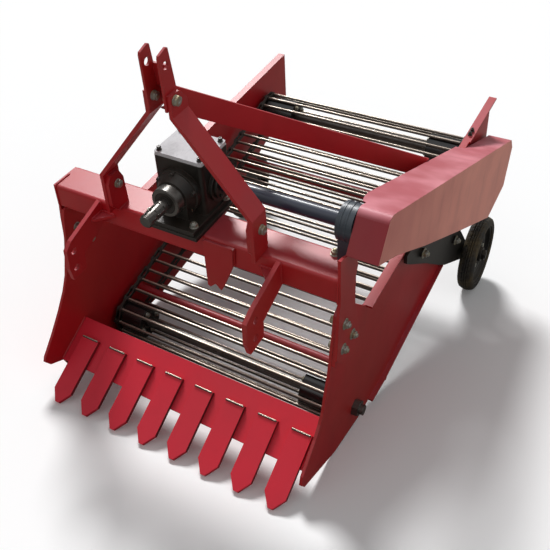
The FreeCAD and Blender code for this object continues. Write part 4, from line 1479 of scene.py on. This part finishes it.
@dataclass(frozen=True)
class RearWheel(Assembly):
    """One rear wheel: grooved tyre, pressed disc with its bolts, and the arm's bolts."""

    side: Side
    y: float = 1300.0
    z: float = 139.0
    x0: float = 450.0
    x1: float = 506.0
    radius: float = 139.0
    rim_r: float = 106.0
    ribs: int = 4
    blocks: int = 44
    groove: float = 5.5
    crown: float = 4.0
    notch: float = 1.8
    shoulder: Pair = (12.0, 18.0)
    tyre_wall: Profile = ((4.0, 0.2), (1.5, 3), (1.5, 7), (2.6, 9), (2.2, 13))
    disc_section: Profile = (
        (500, 12.7), (500, 25.5), (498.5, 27), (484, 27), (481, 33), (481, 57), (486, 63),
        (487, 71), (486, 79), (481, 85), (481, 97), (485, 100), (496, 100.5), (498.5, 102.5),
        (498.5, 105.8), (457.5, 105.8), (457.5, 102.5), (460, 100.5), (471, 100), (475, 97),
        (475, 85), (480, 79), (481, 71), (480, 63), (475, 57), (475, 33), (472, 27), (449.5, 27),
        (448, 25.5), (448, 12.7))
    bolt_r: float = 44.0
    bolt_angles: tuple[float, ...] = (18.0, 90.0, 162.0, 234.0, 306.0)
    disc_x: Pair = (475.0, 481.0)
    disc_head: Fastener = Fastener(16.0, 7.0, 11.0)
    disc_nut: Fastener = Fastener(16.0, 8.0, 0.0, 4.0, 5.0)
    arm_spots: tuple[Triple, ...] = ((443.0, 725.0, 410.0), (443.0, 1100.0, 275.0))
    arm_nut: Fastener = Fastener(21.0, 9.0, 17.0, 6.0, 7.0)

    def tyre(self) -> Skin:
        """Tyre whose section runs round two side walls, two shoulders and a grooved tread.

        The shoulders are quarters of an ellipse. Across the tread at share v from 0 to 1 the
        radius is the wheel's less crown (2 v - 1) squared, and less groove (1 - |sin(ribs pi v)|)
        cubed away from its edges. Round it the tread drops by the notch where
        cos(blocks t + 5 v) is over 0.8.

        Returns:
            The tyre in its place on the right.
        """
        v = np.linspace(0.0, 1.0, 33)
        t = round_angles(352)
        width, height = self.shoulder
        grooves = self.groove * (1 - np.abs(np.sin(self.ribs * math.pi * v))) ** 3
        arch = 2 * v - 1
        tread_r = self.radius - self.crown * arch ** 2 - grooves * (np.abs(arch) < 0.95)
        tread_x = self.x0 + width + (self.x1 - self.x0 - 2 * width) * v
        k = np.linspace(0.0, math.pi / 2, 5)[:-1]
        shoulder_r = self.radius - self.crown - height + height * np.sin(k)
        wall_x, wall_r = np.array(self.tyre_wall).T
        near_x = np.concatenate([wall_x, width - width * np.cos(k)])
        near_r = np.concatenate([self.rim_r + wall_r, shoulder_r])
        x = np.concatenate([self.x0 + near_x, tread_x, (self.x1 - near_x)[::-1]])
        r = np.repeat(np.concatenate([near_r, tread_r, near_r[::-1]])[:, None], len(t), 1)
        low = np.cos(self.blocks * t[None, :] + 5.0 * v[:, None]) > 0.8
        r[len(near_x):len(near_x) + len(v)] -= self.notch * low
        grid = np.stack([np.repeat(x[:, None], len(t), 1), self.y + r * np.cos(t),
                         self.z + r * np.sin(t)], -1)
        return woven(grid, True, False)

    def disc(self) -> Skin:
        """Pressed disc, swaged between hub and rim: a closed section turned about the axle."""
        return turned(self.disc_section, 64, True).about((0.0, self.y, self.z), X_AXIS)

    def bolts(self) -> Skin:
        """Set five bolts on the disc with their nuts behind.

        Returns:
            Heads and nuts in one skin.
        """
        ring = circle(self.bolt_r, self.bolt_angles)
        inner, outer = ([(x, self.y + y, self.z + z) for y, z in ring] for x in self.disc_x)
        return Skin.joined([self.disc_head.set_out(outer, X_AXIS),
                            self.disc_nut.set_out(inner, (-1, 0, 0))])

    def build(self) -> None:
        """Fit the wheel in place of its plain solids, mirrored on the left."""
        name = self.side.name.lower()
        body = f"wheel_{name}"
        rows = (("tyre", self.tyre(), Slot.TYRE, body, [f"wheel_tyre_{name}"], 40.0),
                ("wheel_disc", self.disc(), Slot.BLACK, body, [f"wheel_rim_{name}"], 35.0),
                ("wheel_disc_bolts", self.bolts(), Slot.ZINC, body, [], 35.0),
                ("wheel_arm_bolts", self.arm_nut.set_out(self.arm_spots, X_AXIS), Slot.ZINC,
                 "frame", [], 35.0))
        for kind, skin, slot, rides_on, stands_for, crease in rows:
            skin = skin if self.side is Side.RIGHT else skin.mirrored()
            self.bench.fit(f"{kind}_{name}", [skin], slot, rides_on, stands_for, crease)


@dataclass(frozen=True)
class WallTopBolts(Assembly):
    """Two bolts on the right wall's top edge, beside the chain guard."""

    x: float = 415.0
    ys: Pair = (1166.0, 1188.0)
    tip_y: float = 1404.0
    tip_z: float = 692.0
    fall: float = 0.26
    axis: Triple = (0.0, -0.25, 0.97)
    kind: Fastener = Fastener(11.0, 7.0, 7.5, 4.0, 3.6)

    def build(self) -> None:
        """Fit the two bolts square to the sloping edge."""
        seats = [(self.x, y, self.tip_z - (self.tip_y - y) * self.fall) for y in self.ys]
        self.bolt("wall_top_bolts", self.kind, seats, self.axis, Slot.CHAIN)


# ------------------------------------------------------------------ studio
def shown(name: str, data: bpy.types.ID) -> bpy.types.Object:
    """Put a mesh, lamp or camera in the scene.

    Args:
        name: Name of the object.
        data: What it shows.

    Returns:
        The new object.
    """
    thing = bpy.data.objects.new(name, data)
    bpy.context.scene.collection.objects.link(thing)
    return thing


@dataclass(frozen=True)
class Lamp:
    """A soft sun: its direction from the machine, its strength, and its spread in degrees."""

    name: str
    toward: Triple
    strength: float
    spread: float
    away: float = 4.0

    def hang(self) -> None:
        """Put the lamp in the scene."""
        data = bpy.data.lights.new(self.name, "SUN")
        data.energy, data.angle = self.strength, math.radians(self.spread)
        turn = np.eye(4)
        turn[:3, :3] = frames_along(np.array([self.toward], float))[0]
        turn[:3, 3] = self.away * turn[:3, 2]
        shown(self.name, data).matrix_world = Matrix(turn.tolist())


@dataclass(frozen=True)
class Studio:
    """Floor, light and camera. Lengths are in metres."""

    eye: Triple = (0.980, -2.007, 1.591)
    right: Triple = (0.8570, 0.5139, 0.0377)
    up: Triple = (-0.2502, 0.3511, 0.9023)
    lens: float = 51.99
    sensor: float = 36.0
    shift: Pair = (0.0593, -0.1787)
    clip_end: float = 200.0
    floor_half: float = 30.0
    floor_z: float = -0.0006
    floor_glow: float = 0.03
    floor_cloud: Pattern = Pattern(0.6)
    floor_grain: Pattern = Pattern(40.0)
    sky: float = 0.26
    shine: float = 0.8
    lamps: tuple[Lamp, ...] = (Lamp("key", (-0.44, 0.46, 0.77), 2.75, 16.0),
                               Lamp("fill", (-0.15, -0.90, 0.42), 0.35, 60.0),
                               Lamp("side", (0.95, -0.12, 0.28), 0.27, 60.0))

    def camera(self) -> None:
        """Stand the camera at its place, with its up axis made square to its right axis."""
        data = bpy.data.cameras.new("camera")
        data.lens, data.sensor_width = self.lens, self.sensor
        data.shift_x, data.shift_y = self.shift
        data.clip_end = self.clip_end
        x, y = np.array(self.right), np.array(self.up)
        x /= np.linalg.norm(x)
        y = y - x * (x @ y)
        y /= np.linalg.norm(y)
        turn = np.eye(4)
        turn[:3] = np.column_stack([x, y, np.cross(x, y), self.eye])
        camera = shown("camera", data)
        camera.matrix_world = Matrix(turn.tolist())
        bpy.context.scene.camera = camera

    def floor(self) -> None:
        """Lay the floor, pale with a faint grain; to the eye it is white where it is lit."""
        s = Sheet("studio_floor")
        grain = s.noise(self.floor_cloud) * 0.5 + s.noise(self.floor_grain) * 0.5
        pale = s.blend(grain, (0.29, 0.28, 0.26), (0.32, 0.31, 0.29))
        seen = Value(s, s.node("ShaderNodeLightPath", out="Is Camera Ray"))
        matt = s.node("ShaderNodeBsdfDiffuse", None, {"Color": s.blend(seen, pale, WHITE)}, "BSDF")
        glow = s.node("ShaderNodeEmission", None, {"Color": WHITE, "Strength": 1.0}, "Emission")
        share = seen * self.floor_glow
        mixed = s.node("ShaderNodeMixShader", None, {"Fac": share, 1: matt, 2: glow})
        s.node("ShaderNodeOutputMaterial", None, {"Surface": mixed})
        h, z = self.floor_half, self.floor_z
        mesh = bpy.data.meshes.new("floor")
        mesh.from_pydata([(-h, -h, z), (h, -h, z), (h, h, z), (-h, h, z)], [], [(0, 1, 2, 3)])
        mesh.materials.append(s.material)
        floor = shown("floor", mesh)

    def world(self) -> None:
        """White sky to the eye; as light it is an even grey, and gloss sees it brighten upwards."""
        world = bpy.data.worlds.new("sky")
        bpy.context.scene.world = world
        s = Sheet("sky", world)
        seen = Value(s, s.node("ShaderNodeLightPath", out="Is Camera Ray"))
        glossy = Value(s, s.node("ShaderNodeLightPath", out="Is Glossy Ray"))
        rise = (s.facing("Z") * -1.0).step(-0.1, 0.9) * self.shine + 0.06
        light = (1.0 - glossy) * self.sky + glossy * rise
        level = light * (1.0 - seen) + seen
        sockets = {"Color": (0.97, 0.985, 1.0), "Strength": level}
        sky = s.node("ShaderNodeBackground", None, sockets)
        s.node("ShaderNodeOutputWorld", None, {"Surface": sky})

    def build(self) -> None:
        """Set floor, sky, lamps and camera."""
        bpy.context.scene.view_settings.view_transform = "Standard"
        self.camera()
        self.floor()
        self.world()
        for lamp in self.lamps:
            lamp.hang()


def main() -> None:
    """Build the studio, finish the frame and fit every sub-assembly."""
    logging.basicConfig(level=logging.INFO, format="%(message)s")
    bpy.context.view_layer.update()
    Studio().build()
    shop = PaintShop()
    shop.dress_frame(frame)
    bench = Workbench(shop)
    for assembly in (GearboxTrim(bench), MastBolts(bench), FrameBolts(bench), BearingTrim(bench),
                     WeldSet(bench), BladeRow(bench), ChainDrive(bench), RodWeb(bench),
                     RearBearingTrim(bench), RearWheel(bench, Side.LEFT),
                     RearWheel(bench, Side.RIGHT), WallTopBolts(bench)):
        assembly.build()


if __name__ == "__main__":
    main()
